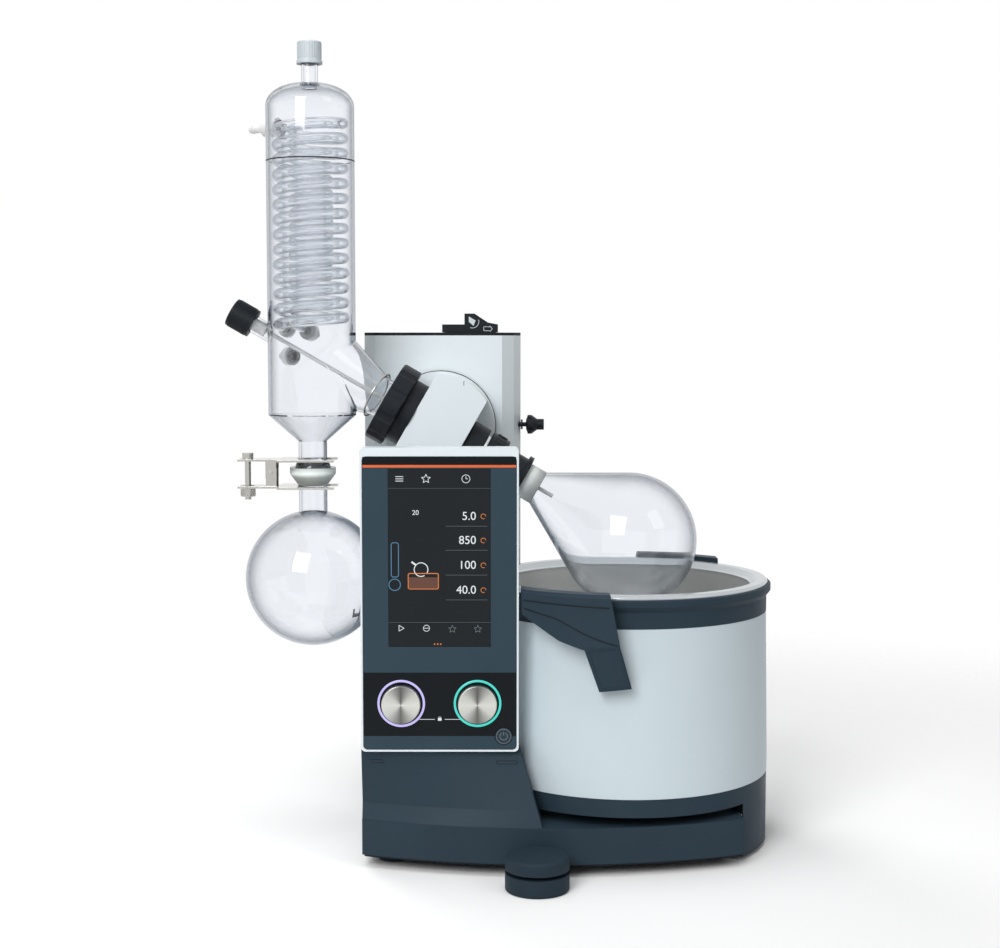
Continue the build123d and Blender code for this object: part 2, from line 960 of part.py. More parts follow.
def release_ring():
    low = hub_waist_end + seat_gap
    high = low + release_ring_length
    ring = rod(release_ring_radius, low, high)
    ring = chamfer(ring.edges(), release_ring_edge)
    ring -= rod(hub_nose_radius + turning_gap, low, high)
    middle = (low + high) / 2
    pin = Rot(0, 90, 0) * Cylinder(release_pin_radius, release_pin_length)
    pin = Pos(release_ring_radius - release_pin_sink, 0, middle) * pin
    return drive * (ring + (pin - rod(release_ring_radius - release_pin_sink + 1, low, high)))


def flask_clip():
    low = hub_waist_end + 2 * seat_gap + release_ring_length
    sleeve = tube(clip_sleeve_radius, hub_nose_radius + seat_gap, low, clip_end)
    lip = tube(clip_lip_radius, hub_nose_radius + seat_gap, clip_end - clip_lip_length, clip_end)
    return drive * (sleeve + lip)


def vapour_tube():
    inner = vapour_radius - vapour_wall
    end = flask_mouth + joint_length
    wide = joint_wide - glass_gap
    narrow = joint_narrow - glass_gap
    outline = turned(
        (inner, vapour_start),
        (vapour_radius, vapour_start),
        (vapour_radius, hub_nose_end),
        (wide, flask_mouth),
        (narrow, end),
        (narrow - vapour_wall, end),
        (inner, hub_nose_end),
    )
    return drive * outline


def evaporating_flask():
    outside = flask_edges(flask_radius, flask_neck_radius, flask_cone_angle, flask_centre, flask_mouth)
    joint_end = flask_mouth + joint_length
    inside = flask_edges(flask_radius - glass_wall, joint_narrow, flask_cone_angle, flask_centre, joint_end)
    far = flask_centre + flask_radius
    ends = [
        Line((0, 0, far), (0, 0, far - glass_wall)),
        Line((joint_narrow, 0, joint_end), (joint_wide, 0, flask_mouth)),
        Line((joint_wide, 0, flask_mouth), (flask_neck_radius, 0, flask_mouth)),
    ]
    return drive * revolve(make_face(outside + ends + inside), Axis.Z)


# Condenser

def jacket_solid(inset):
    radius = jacket_radius - inset
    neck = top_neck_radius - inset
    drip = drip_neck_radius - inset
    start = ball_cut if inset else ball_height
    side = Polyline(
        (0, 0, start),
        (drip, 0, start),
        (drip, 0, drip_neck_high),
        (radius, 0, jacket_low + inset / 2),
        (radius, 0, jacket_high),
    )
    dome_end = (neck, 0, dome_top - inset)
    rise = dome_top - inset - jacket_high
    dome = Plane.XZ * EllipticalCenterArc((neck, jacket_high), radius - neck, rise, arc_size=90)
    top = Polyline(dome_end, (neck, 0, top_neck_end), (0, 0, top_neck_end), (0, 0, start))
    solid = revolve(make_face([side, dome, top]), Axis.Z)
    return condenser * solid


def arm_solid(inset):
    radius = arm_radius - inset
    start = collar_end
    neck_end = collar_end - glass_flange_thickness - arm_straight
    grown = radius + (arm_reach + neck_end) * tan(radians(arm_spread))
    cone = turned(
        (0, start),
        (radius, start),
        (radius, neck_end),
        (grown, -arm_reach),
        (0, -arm_reach),
    )
    return drive * cone


def stub_axes():
    # where the vent and the vacuum connection leave the jacket, looking out along each stub
    around = [(vent_height, vent_angle), (vacuum_height, vacuum_angle)]
    return [condenser * Pos(0, 0, z) * Rot(0, 0, angle) * Rot(0, 90, 0) for z, angle in around]


def stubs(radius, low, high):
    return [axis * rod(radius, low, high) for axis in stub_axes()]


def coil_path(radius, pitch, turns, start):
    return condenser * Pos(0, 0, coil_low) * Rot(0, 0, start) * Helix(pitch, pitch * turns, radius)


outer_path = coil_path(outer_coil_radius, outer_coil_pitch, outer_coil_turns, 180)
inner_coil_pitch = outer_coil_pitch * outer_coil_turns / inner_coil_turns
inner_path = coil_path(inner_coil_radius, inner_coil_pitch, inner_coil_turns, inner_coil_start)


def coil(path, radius):
    section = Plane(origin=path @ 0, z_dir=path % 0) * (Circle(radius) - Circle(radius - coil_tube_wall))
    return sweep(section, path=path, is_frenet=True)


def port_plane(path):
    # a plane on the lower end of a coil, looking out along its tube
    return Plane(origin=path @ 0, z_dir=-(path % 0))


def port_length(path, reach):
    # how far the straight tube runs until it is reach away from the condenser's axis
    start = path @ 0 - Vector(condenser_x, 0, (path @ 0).Z)
    way = -(path % 0)
    along = start.X * way.X + start.Y * way.Y
    return -along + sqrt(along * along - start.X**2 - start.Y**2 + reach * reach)


coil_ports_at = [(outer_path, outer_coil_tube), (inner_path, inner_coil_tube)]


def condenser_jacket():
    outside = jacket_solid(0) + arm_solid(0)
    outside += drive * rod(glass_flange_radius, collar_end - glass_flange_thickness, collar_end)
    outside += drive * rod(port_radius, port_end, port_start)
    outside += condenser * Pos(0, 0, ball_height) * Sphere(ball_radius)
    outside += stubs(stub_radius, jacket_radius - glass_wall / 2, stub_reach)
    inside = jacket_solid(glass_wall) + arm_solid(glass_wall)
    inside += drive * rod(port_radius - glass_wall, port_end, port_start)
    inside += stubs(stub_bore, jacket_radius - 3 * glass_wall, stub_reach)
    inside += block(condenser_x - cup_radius, condenser_x + cup_radius, -cup_radius, cup_radius,
                    ball_height - 2 * ball_radius, ball_cut)
    for path, radius in coil_ports_at:
        inside += port_plane(path) * rod(radius + glass_gap, 0, coil_port_reach)
    return outside - inside


def coil_links():
    links = []
    for path, radius in coil_ports_at:
        run = tube(radius, radius - coil_tube_wall, glass_gap, port_length(path, coil_port_reach))
        links.append(port_plane(path) * run)
    bend = (outer_coil_radius - inner_coil_radius) / 2
    top = coil_low + outer_coil_pitch * outer_coil_turns
    middle = condenser_x + inner_coil_radius + bend
    ring = Torus(bend, inner_coil_tube) - Torus(bend, inner_coil_tube - coil_tube_wall)
    half = ring & block(-2 * bend, 2 * bend, 0, 4 * bend, -2 * bend, 2 * bend)
    links.append(Pos(middle, 2 * glass_gap, top) * half)
    return links


def nozzle(seat_radius):
    # a screw cap on a glass stub with a hose barb; Z runs out along the stub, from its end
    start = nozzle_cap_length - nozzle_seat
    tip = start + stem_length
    cap = rod(nozzle_cap_radius, -nozzle_seat, start)
    cap = chamfer(cap.edges(), nozzle_edge)
    cap -= rod(seat_radius + seat_gap, -nozzle_seat, seat_gap)
    cap += rod(stem_radius, start, tip)
    end = tip + barb_length
    notch = tip + barb_length / 2
    cap += turned(
        (0, tip),
        (stem_radius, tip),
        (barb_tip, notch),
        (stem_radius, notch),
        (barb_tip, end),
        (0, end),
    )
    return cap - rod(barb_bore, -nozzle_seat, end)


def hose_nozzles():
    nozzles = []
    for path, radius in coil_ports_at:
        reach = port_length(path, coil_port_reach)
        nozzles.append(port_plane(path) * Pos(0, 0, reach) * nozzle(radius))
    return nozzles + [axis * Pos(0, 0, stub_reach) * nozzle(stub_radius) for axis in stub_axes()]


def feed_tube():
    # a thin tube with a plug that fills the mouth of the feed port
    plug = rod(port_radius - glass_wall - seat_gap, port_end + seat_gap, port_end + feed_plug_length)
    return drive * (plug + rod(feed_radius, port_end, feed_end) - rod(feed_bore, port_end, feed_end))


def top_cap():
    cap = rod(top_cap_radius, top_cap_low, top_cap_high)
    cap = fillet(cap.edges().group_by(Axis.Z)[-1], cap_round)
    cap += rod(top_cap_radius + top_cap_lip, top_cap_low, top_cap_low + top_cap_lip_height)
    cap -= rod(top_neck_radius + turning_gap, top_cap_low, top_neck_end + seat_gap)
    return condenser * cap


def feed_cap():
    far = port_end - feed_cap_roof
    cap = rod(feed_cap_radius, far, far + feed_cap_length)
    cap = fillet(cap.edges().group_by(Axis.Z)[0], cap_round)
    cap -= rod(port_radius + turning_gap, port_end - seat_gap, far + feed_cap_length)
    return drive * cap


# Receiving flask and clip

def receiving_flask():
    outer_join = receiver_centre + sqrt(flask_radius**2 - receiver_neck_radius**2)
    bore = receiver_neck_radius - glass_wall
    inner_radius = flask_radius - glass_wall
    inner_join = receiver_centre + sqrt(inner_radius**2 - bore**2)
    low = receiver_centre - flask_radius
    edges = [
        Line((receiver_neck_radius, 0, cup_low), (receiver_neck_radius, 0, outer_join)),
        ThreePointArc((receiver_neck_radius, 0, outer_join), (flask_radius, 0, receiver_centre), (0, 0, low)),
        Line((0, 0, low), (0, 0, low + glass_wall)),
        ThreePointArc((0, 0, low + glass_wall), (inner_radius, 0, receiver_centre), (bore, 0, inner_join)),
        Line((bore, 0, inner_join), (bore, 0, cup_low)),
        Line((bore, 0, cup_low), (receiver_neck_radius, 0, cup_low)),
    ]
    ball = revolve(make_face(edges), Axis.Z)
    cup = turned((0, cup_low), (receiver_neck_radius, cup_low), (cup_radius, ball_height - cup_height),
                 (cup_radius, ball_height + cup_height), (0, ball_height + cup_height))
    cup -= Pos(0, 0, ball_height) * Sphere(ball_radius + glass_gap)
    cup -= rod(bore, cup_low, ball_height)
    cup -= rod(ball_radius + glass_gap, ball_height, ball_height + cup_height)
    return condenser * (ball + cup)


def fork(low):
    # a flat jaw with a round-bottomed slot that lets the neck in from the right
    middle = jaw_right - condenser_x
    plate = block(jaw_left, jaw_right, -jaw_half_width, jaw_half_width, low, low + jaw_thickness)
    beside = block(jaw_left - 1, condenser_x - jaw_tail, jaw_tail_half, jaw_half_width + 1,
                   low, low + jaw_thickness)
    plate -= [beside, mirror(beside, Plane.XZ)]
    slot = rod(jaw_slot, low, low + jaw_thickness)
    slot += block(0, middle + 1, -jaw_slot, jaw_slot, low, low + jaw_thickness)
    return plate - condenser * slot


def clip_cheeks(low, high, inner, outer):
    cheeks = []
    for side in (-1, 1):
        y0, y1 = sorted((side * inner, side * outer))
        cheeks.append(block(clip_pivot_x - clip_cheek, clip_pivot_x + clip_cheek, y0, y1, low, high))
    return cheeks


def pivot_bore(radius):
    return facing_front(clip_pivot_x, clip_pivot_height, -jaw_half_width, jaw_half_width, radius)


def clip_upper_jaw():
    jaw = fork(upper_jaw_low)
    outer = clip_upper_cheek + clip_cheek_wall
    pin = outer + clip_pin_end
    jaw += clip_cheeks(clip_pivot_height - clip_cheek, upper_jaw_low, clip_upper_cheek, outer)
    jaw += facing_front(clip_pivot_x, clip_pivot_height, -pin, pin, clip_pin_radius)
    screw = rod(clip_screw_radius, clip_screw_low, upper_jaw_low + jaw_thickness)
    head = clip_screw_radius + clip_screw_head
    screw += rod(head, upper_jaw_low + jaw_thickness, clip_screw_high)
    return jaw + Pos(clip_screw_x, 0, 0) * screw


def clip_lower_jaw():
    low = lower_jaw_high - jaw_thickness
    jaw = fork(low)
    outer = clip_lower_cheek + clip_cheek_wall
    jaw += clip_cheeks(lower_jaw_high, clip_pivot_height + clip_cheek, clip_lower_cheek, outer)
    jaw -= pivot_bore(clip_pin_radius + running_fit)
    free = clip_screw_radius + clip_screw_gap
    slot = block(jaw_left - 1, clip_screw_x, -free, free, low, lower_jaw_high)
    for shift in (0, clip_screw_swing):
        slot += Pos(clip_screw_x + shift, 0, 0) * rod(free, low, lower_jaw_high)
    return jaw - slot


def clip_nut():
    high = lower_jaw_high - jaw_thickness - turning_gap
    nut = tube(clip_nut_radius, clip_screw_radius + running_fit, high - clip_nut_height, high)
    return Pos(clip_screw_x, 0, 0) * nut


# Heating bath

def bath_vessel():
    inner = vessel_radius
    outer = vessel_radius + vessel_wall
    under = rim_high - rim_roll - vessel_wall / 2
    vessel = turned(
        (0, vessel_floor - vessel_wall),
        (outer - vessel_chamfer, vessel_floor - vessel_wall),
        (outer, vessel_floor + vessel_chamfer),
        (outer, rim_low - vessel_wall),
        (outer + vessel_flare, under),
        (rim_radius - rim_roll, under),
        (rim_radius - rim_roll, rim_low),
        (rim_radius, rim_low),
        (rim_radius, rim_high - rim_roll),
        (rim_radius - rim_roll, rim_high),
        (inner + vessel_mouth, rim_high),
        (inner, rim_high - vessel_mouth),
        (inner, vessel_floor + vessel_chamfer),
        (inner - vessel_chamfer, vessel_floor),
        (0, vessel_floor),
    )
    return bath * vessel


def bath_collar():
    # the ring under the rim with its lip, and two grips that stand out past the lip
    nest = rim_radius + turning_gap
    ring = turned(
        (collar_inner, bath_shell_high),
        (collar_outer, bath_shell_high),
        (collar_outer, lip_low),
        (lip_radius, lip_low + lip_slope),
        (lip_radius, lip_high - lip_edge),
        (lip_radius - lip_edge, lip_high),
        (nest, lip_high),
        (nest, collar_high),
        (collar_inner, collar_high),
    )
    shelf = turned(
        (collar_outer - handle_root, lip_low - handle_root),
        (collar_outer - handle_root, bath_shell_high + seat_gap),
        (bath_shell_radius, bath_shell_high + seat_gap),
        (bath_shell_radius, handle_low),
        (handle_foot, handle_low),
        (handle_outer, handle_knee),
        (handle_outer, handle_high - handle_edge),
        (handle_outer - handle_edge, handle_high),
        (lip_radius + handle_root, handle_high),
        (lip_radius - handle_root, lip_high - 2 * handle_root),
        (lip_radius - handle_root, lip_low - handle_root),
    )
    points = [(x, bath_shell_high + z) for x, z in handle_outline]
    outline = make_face(Polyline(*points, close=True))
    grip = shelf & extrude(Plane.XZ * outline, 2 * handle_outer)
    return bath * (ring + grip + Rot(0, 0, 180) * grip)


def bath_shell():
    wall = bath_shell_wall
    shell = turned(
        (bath_shell_radius - wall, bath_shell_low),
        (bath_shell_radius, bath_shell_low),
        (bath_shell_radius, bath_shell_low + bath_shell_straight),
        (bath_shell_top_radius, bath_shell_high),
        (bath_shell_top_radius - wall, bath_shell_high),
        (bath_shell_radius - wall, bath_shell_low + bath_shell_straight),
    )
    return bath * shell


def bath_base():
    inner = bath_base_radius - bath_skirt_wall
    floor_high = bath_base_low + bath_base_floor
    floor = rod(bath_base_radius, bath_base_low, floor_high)
    wall = tube(bath_base_radius, inner, bath_base_low, bath_shell_low)
    ledge = tube(bath_shell_radius - bath_shell_wall - seat_gap, inner - bath_ledge_wall,
                 bath_shell_low - bath_ledge_low, bath_shell_low + bath_ledge_high)
    skirt = tube(bath_base_radius, inner, bath_skirt_low, bath_base_low)
    cut = base_right + bath_skirt_gap - bath_x
    reach = 2 * bath_base_radius
    skirt &= block(cut, reach, -reach, reach, 0, bath_base_low)
    post = rod(bath_post_radius, floor_high, vessel_floor - vessel_wall)
    post = Pos(heater_outer + bath_post_gap, 0, 0) * post
    posts = [Rot(0, 0, turn) * post for turn in bath_post_turns]
    shoe_low = base_high + runner_height + seat_gap
    shoe = Box(shoe_length, runner_width, bath_base_low - shoe_low)
    shoe_z = (shoe_low + bath_base_low) / 2
    shoes = [Pos(0, y, shoe_z) * shoe for y in (-runner_y, runner_y)]
    return bath * (floor + wall + ledge + skirt + posts + shoes)


def heating_element():
    high = vessel_floor - vessel_wall
    return bath * tube(heater_outer, heater_inner, high - heater_height, high)


# Control panel

def panel_block(inset, front, back, low, high):
    width = panel_right - panel_left - 2 * inset
    middle_x = (panel_left + panel_right) / 2
    face = RectangleRounded(width, high - low, panel_corner)
    view = Plane(origin=(middle_x, front, (low + high) / 2), x_dir=(1, 0, 0), z_dir=(0, -1, 0))
    return extrude(view * face, front - back)


def panel_frame():
    back = panel_front + panel_depth
    frame = panel_block(0, panel_front, back, panel_low, panel_high)
    recess = panel_block(fascia_margin, panel_front, panel_front + fascia_thickness,
                         panel_low + fascia_margin, fascia_top)
    ledge = panel_wall + panel_ledge
    hollow = panel_block(ledge, panel_front + fascia_thickness, back - panel_wall,
                         panel_low + ledge, fascia_top - panel_bar)
    return frame - recess - hollow


def window(grow, front, back):
    return block(display_left - grow, display_right + grow, front, back,
                 display_low - grow, display_high + grow)


def panel_fascia():
    low = panel_low + fascia_margin + seat_gap
    fascia = panel_block(fascia_margin + seat_gap, panel_front, panel_front + fascia_thickness,
                         low, fascia_top - seat_gap)
    front, back = panel_front - 1, panel_front + fascia_thickness + 1
    fascia -= window(seat_gap, front, back)
    for x in (left_knob_x, right_knob_x):
        fascia -= facing_front(x, knob_height, front, back, knob_stem_radius + turning_gap)
    return fascia - facing_front(button_x, button_height, front, back, button_radius + turning_gap)


def display():
    return window(0, panel_front + display_sink, panel_front + display_depth)


def panel_board():
    back = panel_front + panel_depth - board_back
    left = panel_left + board_margin
    right = panel_right - board_margin
    board = block(left, right, back - board_thickness, back,
                  panel_low + board_margin, fascia_top - board_margin)
    wall = panel_front + panel_depth - panel_wall
    for x in (left + board_post_inset, right - board_post_inset):
        for z in (panel_low + board_post_margin, fascia_top - board_post_margin):
            board += facing_front(x, z, back, wall, board_post_radius)
    face = back - board_thickness
    for x in (left_knob_x, right_knob_x):
        board += block(x - encoder_half, x + encoder_half, panel_front + fascia_thickness + turning_gap, face,
                       knob_height - encoder_half, knob_height + encoder_half)
        stem_hole = knob_stem_radius + running_fit
        board -= facing_front(x, knob_height, panel_front, face - encoder_floor, stem_hole)
    return board + block(button_x - switch_half, button_x + switch_half, panel_front + switch_front, face,
                         button_height - switch_half, button_height + switch_half)


def knob_stem(x):
    back = panel_front + panel_depth - board_back - board_thickness - knob_stem_end
    front = panel_front - knob_gap - knob_length + knob_cap
    return facing_front(x, knob_height, front, back, knob_stem_radius)


def knob(x):
    back = panel_front - knob_gap
    front = back - knob_length
    body = facing_front(x, knob_height, front, back, knob_radius)
    body = fillet(body.edges().group_by(Axis.Y)[0], knob_edge)
    bore = knob_stem_radius + running_fit
    return body - facing_front(x, knob_height, front + knob_cap - seat_gap, back, bore)


def power_button():
    front = panel_front - button_proud
    return facing_front(button_x, button_height, front, panel_front + button_back, button_radius)


parts = {
    "base_plate": base_plate(),
    "base_bottom": base_bottom(),
    "rubber_feet": rubber_feet(),
    "mains_inlet": mains_inlet(),
    "power_supply": power_supply(),
    "base_skirt": base_skirt(),
    "bath_runners": bath_runners(),
    "front_foot": front_foot(),
    "column_sleeve": column_sleeve(),
    "rear_cover": rear_cover(),
    "column_lid": column_lid(),
    "top_slider": top_slider(),
    "lift_carriage": lift_carriage(),
    "lift_mast": lift_mast(),
    "mast_rails": mast_rails(),
    "lift_motor": lift_motor(),
    "lift_spindle": lift_spindle(),
    "tilt_lock": tilt_lock(),
    "hose_hook": hose_hook(),
    "head_housing": head_housing(),
    "tilt_journal": tilt_journal(),
    "drive_motor": drive_motor(),
    "motor_pulley": motor_pulley(),
    "drive_belt": drive_belt(),
    "hub_bearings": hub_bearings(),
    "thread_collar": thread_collar(),
    "shaft_seal": shaft_seal(),
    "union_nut": union_nut(),
    "drive_hub": drive_hub(),
    "hub_flange": hub_flange(),
    "release_ring": release_ring(),
    "flask_clip": flask_clip(),
    "vapour_tube": vapour_tube(),
    "evaporating_flask": evaporating_flask(),
    "condenser_jacket": condenser_jacket(),
    "outer_coil": coil(outer_path, outer_coil_tube),
    "inner_coil": coil(inner_path, inner_coil_tube),
    "coil_links": coil_links(),
    "hose_nozzles": hose_nozzles(),
    "feed_tube": feed_tube(),
    "top_cap": top_cap(),
    "feed_cap": feed_cap(),
    "receiving_flask": receiving_flask(),
    "clip_upper_jaw": clip_upper_jaw(),
    "clip_lower_jaw": clip_lower_jaw(),
    "clip_nut": clip_nut(),
    "bath_vessel": bath_vessel(),
    "bath_collar": bath_collar(),
    "bath_shell": bath_shell(),
    "bath_base": bath_base(),
    "heating_element": heating_element(),
    "panel_frame": panel_frame(),
    "panel_fascia": panel_fascia(),
    "display": display(),
    "panel_board": panel_board(),
    "left_knob_stem": knob_stem(left_knob_x),
    "right_knob_stem": knob_stem(right_knob_x),
    "left_knob": knob(left_knob_x),
    "right_knob": knob(right_knob_x),
    "power_button": power_button(),
}


def solids_of(shape):
    shapes = shape if isinstance(shape, list) else [shape]
    return [solid for item in shapes for solid in item.solids()]


pieces = {name: solids_of(shape) for name, shape in parts.items()}
footprint = Compound([solid for solids in pieces.values() for solid in solids]).bounding_box()
home = Pos(-footprint.center().X, -footprint.center().Y, -footprint.min.Z)

for name, solids in pieces.items():
    placed = [home * solid for solid in solids]
    export_step(placed[0] if len(placed) == 1 else Compound(placed), f"parts/{name}.step")

print(len(pieces), "nodes; origin at", footprint.center().X, footprint.center().Y, footprint.min.Z)
print("size", footprint.size.X, footprint.size.Y, footprint.size.Z)
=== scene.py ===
import bpy
import bmesh
import json
from math import cos, radians, sin, tau
from mathutils import Matrix, Vector


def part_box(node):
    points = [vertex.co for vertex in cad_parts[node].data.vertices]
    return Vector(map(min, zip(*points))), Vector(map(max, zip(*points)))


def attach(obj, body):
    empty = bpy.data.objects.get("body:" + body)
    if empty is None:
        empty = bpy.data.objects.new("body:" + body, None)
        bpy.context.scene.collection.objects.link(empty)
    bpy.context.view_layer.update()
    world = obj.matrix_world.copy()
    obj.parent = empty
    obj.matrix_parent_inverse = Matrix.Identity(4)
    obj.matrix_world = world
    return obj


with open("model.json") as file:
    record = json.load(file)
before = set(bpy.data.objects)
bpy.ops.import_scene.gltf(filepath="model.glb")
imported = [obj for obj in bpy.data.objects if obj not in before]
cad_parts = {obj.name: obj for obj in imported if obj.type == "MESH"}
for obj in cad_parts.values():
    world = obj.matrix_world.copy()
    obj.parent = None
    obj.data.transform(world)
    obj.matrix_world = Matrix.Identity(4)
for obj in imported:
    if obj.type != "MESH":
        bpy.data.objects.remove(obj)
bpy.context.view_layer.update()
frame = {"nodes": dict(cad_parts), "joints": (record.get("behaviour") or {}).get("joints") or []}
nodes = frame["nodes"]
joints = {joint["name"]: joint for joint in frame["joints"]}
scene = bpy.context.scene

# places that the joints give: the tilt point, the drive axis and the condenser's upright axis
tiltPoint = Vector(joints["head_tilt"]["pos_m"])
driveAxis = Vector(joints["flask_spin"]["axis"]).normalized()
driveSide = Vector((-driveAxis.z, 0, driveAxis.x))
condenserPoint = Vector(joints["top_cap_turn"]["pos_m"])
driveFrame = Matrix((
    (driveSide.x, 0, driveAxis.x, tiltPoint.x),
    (driveSide.y, -1, driveAxis.y, tiltPoint.y),
    (driveSide.z, 0, driveAxis.z, tiltPoint.z),
    (0, 0, 0, 1),
))
print("frame loaded:", len(nodes), "nodes")


# camera and light

camera = {"place": (0.00125, -1.62657, 0.48333), "pitch": 4.564, "lens": 60.825, "sensor": 36}
eye = bpy.data.objects.new("camera", bpy.data.cameras.new("camera"))
eye.data.lens = camera["lens"]
eye.data.sensor_width = camera["sensor"]
eye.location = camera["place"]
eye.rotation_euler = (radians(90 - camera["pitch"]), 0, 0)
scene.collection.objects.link(eye)
scene.camera = eye
scene.view_settings.view_transform = "Standard"
scene.cycles.max_bounces = 32
scene.cycles.transmission_bounces = 32
scene.cycles.glossy_bounces = 12

lamps = {
    "key": {"place": (-0.9, -2.2, 1.7), "aim": (0.05, 0, 0.3), "size": (1.2, 1.6), "power": 54},
    "fill": {"place": (1.9, -1.4, 1.9), "aim": (0, 0, 0.45), "size": (1.0, 1.4), "power": 9},
    "top": {"place": (-0.2, -0.4, 2.4), "aim": (0, 0, 0.3), "size": (1.8, 1.4), "power": 22},
    "back": {"place": (-1.2, 1.8, 1.5), "aim": (0, 0, 0.4), "size": (1.2, 1.6), "power": 30},
}
for name, lamp in lamps.items():
    light = bpy.data.lights.new(name, "AREA")
    light.shape = "RECTANGLE"
    light.size, light.size_y = lamp["size"]
    light.energy = lamp["power"]
    holder = bpy.data.objects.new(name, light)
    holder.location = lamp["place"]
    way = Vector(lamp["aim"]) - Vector(lamp["place"])
    holder.rotation_euler = way.to_track_quat("-Z", "Y").to_euler()
    holder.visible_transmission = False
    holder.visible_glossy = name in ("key", "fill")  # no hard spots from above on the steel rim
    scene.collection.objects.link(holder)

sky = {"seen": 1.0, "lit": 0.24}
world = bpy.data.worlds.new("studio")
scene.world = world
world.use_nodes = True
tree = world.node_tree
path = tree.nodes.new("ShaderNodeLightPath")
seen = tree.nodes.new("ShaderNodeMath")
seen.operation = "MAXIMUM"
shown = tree.nodes.new("ShaderNodeMath")
shown.operation = "MAXIMUM"
level = tree.nodes.new("ShaderNodeMapRange")
level.inputs["To Min"].default_value = sky["lit"]
level.inputs["To Max"].default_value = sky["seen"]
tree.links.new(path.outputs["Is Camera Ray"], seen.inputs[0])
tree.links.new(path.outputs["Is Glossy Ray"], seen.inputs[1])
tree.links.new(seen.outputs[0], shown.inputs[0])
tree.links.new(path.outputs["Is Transmission Ray"], shown.inputs[1])
tree.links.new(shown.outputs[0], level.inputs["Value"])
tree.links.new(level.outputs[0], tree.nodes["Background"].inputs["Strength"])
tree.nodes["Background"].inputs["Color"].default_value = (1, 1, 1, 1)


# shader groups that several finishes share

def newGroup(name, inputs, outputs):
    group = bpy.data.node_groups.new(name, "ShaderNodeTree")
    for label, value in inputs:
        socket = group.interface.new_socket(name=label, in_out="INPUT", socket_type="NodeSocketFloat")
        socket.default_value = value
    for label in outputs:
        group.interface.new_socket(name=label, in_out="OUTPUT", socket_type="NodeSocketFloat")
    return group, group.nodes.new("NodeGroupInput"), group.nodes.new("NodeGroupOutput")


def mouldedGrain():
    # fine spark-eroded texture of a moulding, with soft cloudy wear in its gloss
    sizes = [("Grain", 900), ("Cloud", 14), ("Rough Low", 0.4), ("Rough High", 0.55)]
    group, entry, leave = newGroup("mouldedGrain", sizes, ["Height", "Roughness", "Cloudiness"])
    place = group.nodes.new("ShaderNodeTexCoord")
    fine = group.nodes.new("ShaderNodeTexNoise")
    fine.inputs["Detail"].default_value = 3
    soft = group.nodes.new("ShaderNodeTexNoise")
    soft.inputs["Detail"].default_value = 4
    spread = group.nodes.new("ShaderNodeMapRange")
    spread.inputs["From Min"].default_value = 0.3
    spread.inputs["From Max"].default_value = 0.7
    link = group.links.new
    link(place.outputs["Object"], fine.inputs["Vector"])
    link(place.outputs["Object"], soft.inputs["Vector"])
    link(entry.outputs["Grain"], fine.inputs["Scale"])
    link(entry.outputs["Cloud"], soft.inputs["Scale"])
    link(soft.outputs["Fac"], spread.inputs["Value"])
    link(entry.outputs["Rough Low"], spread.inputs["To Min"])
    link(entry.outputs["Rough High"], spread.inputs["To Max"])
    link(fine.outputs["Fac"], leave.inputs["Height"])
    link(spread.outputs[0], leave.inputs["Roughness"])
    link(soft.outputs["Fac"], leave.inputs["Cloudiness"])
    return group


def brushedLines():
    # long fine scratches along one direction, stretched noise on Object coordinates
    sizes = [("Along X", 6), ("Along Y", 6), ("Along Z", 900), ("Rough Low", 0.2), ("Rough High", 0.34)]
    group, entry, leave = newGroup("brushedLines", sizes, ["Height", "Roughness"])
    place = group.nodes.new("ShaderNodeTexCoord")
    stretch = group.nodes.new("ShaderNodeCombineXYZ")
    scaled = group.nodes.new("ShaderNodeVectorMath")
    scaled.operation = "MULTIPLY"
    streaks = group.nodes.new("ShaderNodeTexNoise")
    streaks.inputs["Scale"].default_value = 1
    streaks.inputs["Detail"].default_value = 4
    spread = group.nodes.new("ShaderNodeMapRange")
    link = group.links.new
    link(entry.outputs["Along X"], stretch.inputs["X"])
    link(entry.outputs["Along Y"], stretch.inputs["Y"])
    link(entry.outputs["Along Z"], stretch.inputs["Z"])
    link(place.outputs["Object"], scaled.inputs[0])
    link(stretch.outputs[0], scaled.inputs[1])
    link(scaled.outputs[0], streaks.inputs["Vector"])
    link(streaks.outputs["Fac"], spread.inputs["Value"])
    link(entry.outputs["Rough Low"], spread.inputs["To Min"])
    link(entry.outputs["Rough High"], spread.inputs["To Max"])
    link(streaks.outputs["Fac"], leave.inputs["Height"])
    link(spread.outputs[0], leave.inputs["Roughness"])
    return group


grainGroup = mouldedGrain()
brushGroup = brushedLines()


def newMaterial(name):
    material = bpy.data.materials.new(name)
    material.use_nodes = True
    return material, material.node_tree, material.node_tree.nodes["Principled BSDF"]


def useGroup(tree, group, values):
    node = tree.nodes.new("ShaderNodeGroup")
    node.node_tree = group
    for label, value in values.items():
        node.inputs[label].default_value = value
    return node


def addBump(tree, shader, height, strength, distance, edge=0):
    # bump from a height, on a normal that rounds off the edges by a small radius
    bump = tree.nodes.new("ShaderNodeBump")
    bump.inputs["Strength"].default_value = strength
    bump.inputs["Distance"].default_value = distance
    tree.links.new(height, bump.inputs["Height"])
    tree.links.new(bump.outputs["Normal"], shader.inputs["Normal"])
    if edge:
        softened = tree.nodes.new("ShaderNodeBevel")
        softened.samples = 4
        softened.inputs["Radius"].default_value = edge
        tree.links.new(softened.outputs["Normal"], bump.inputs["Normal"])


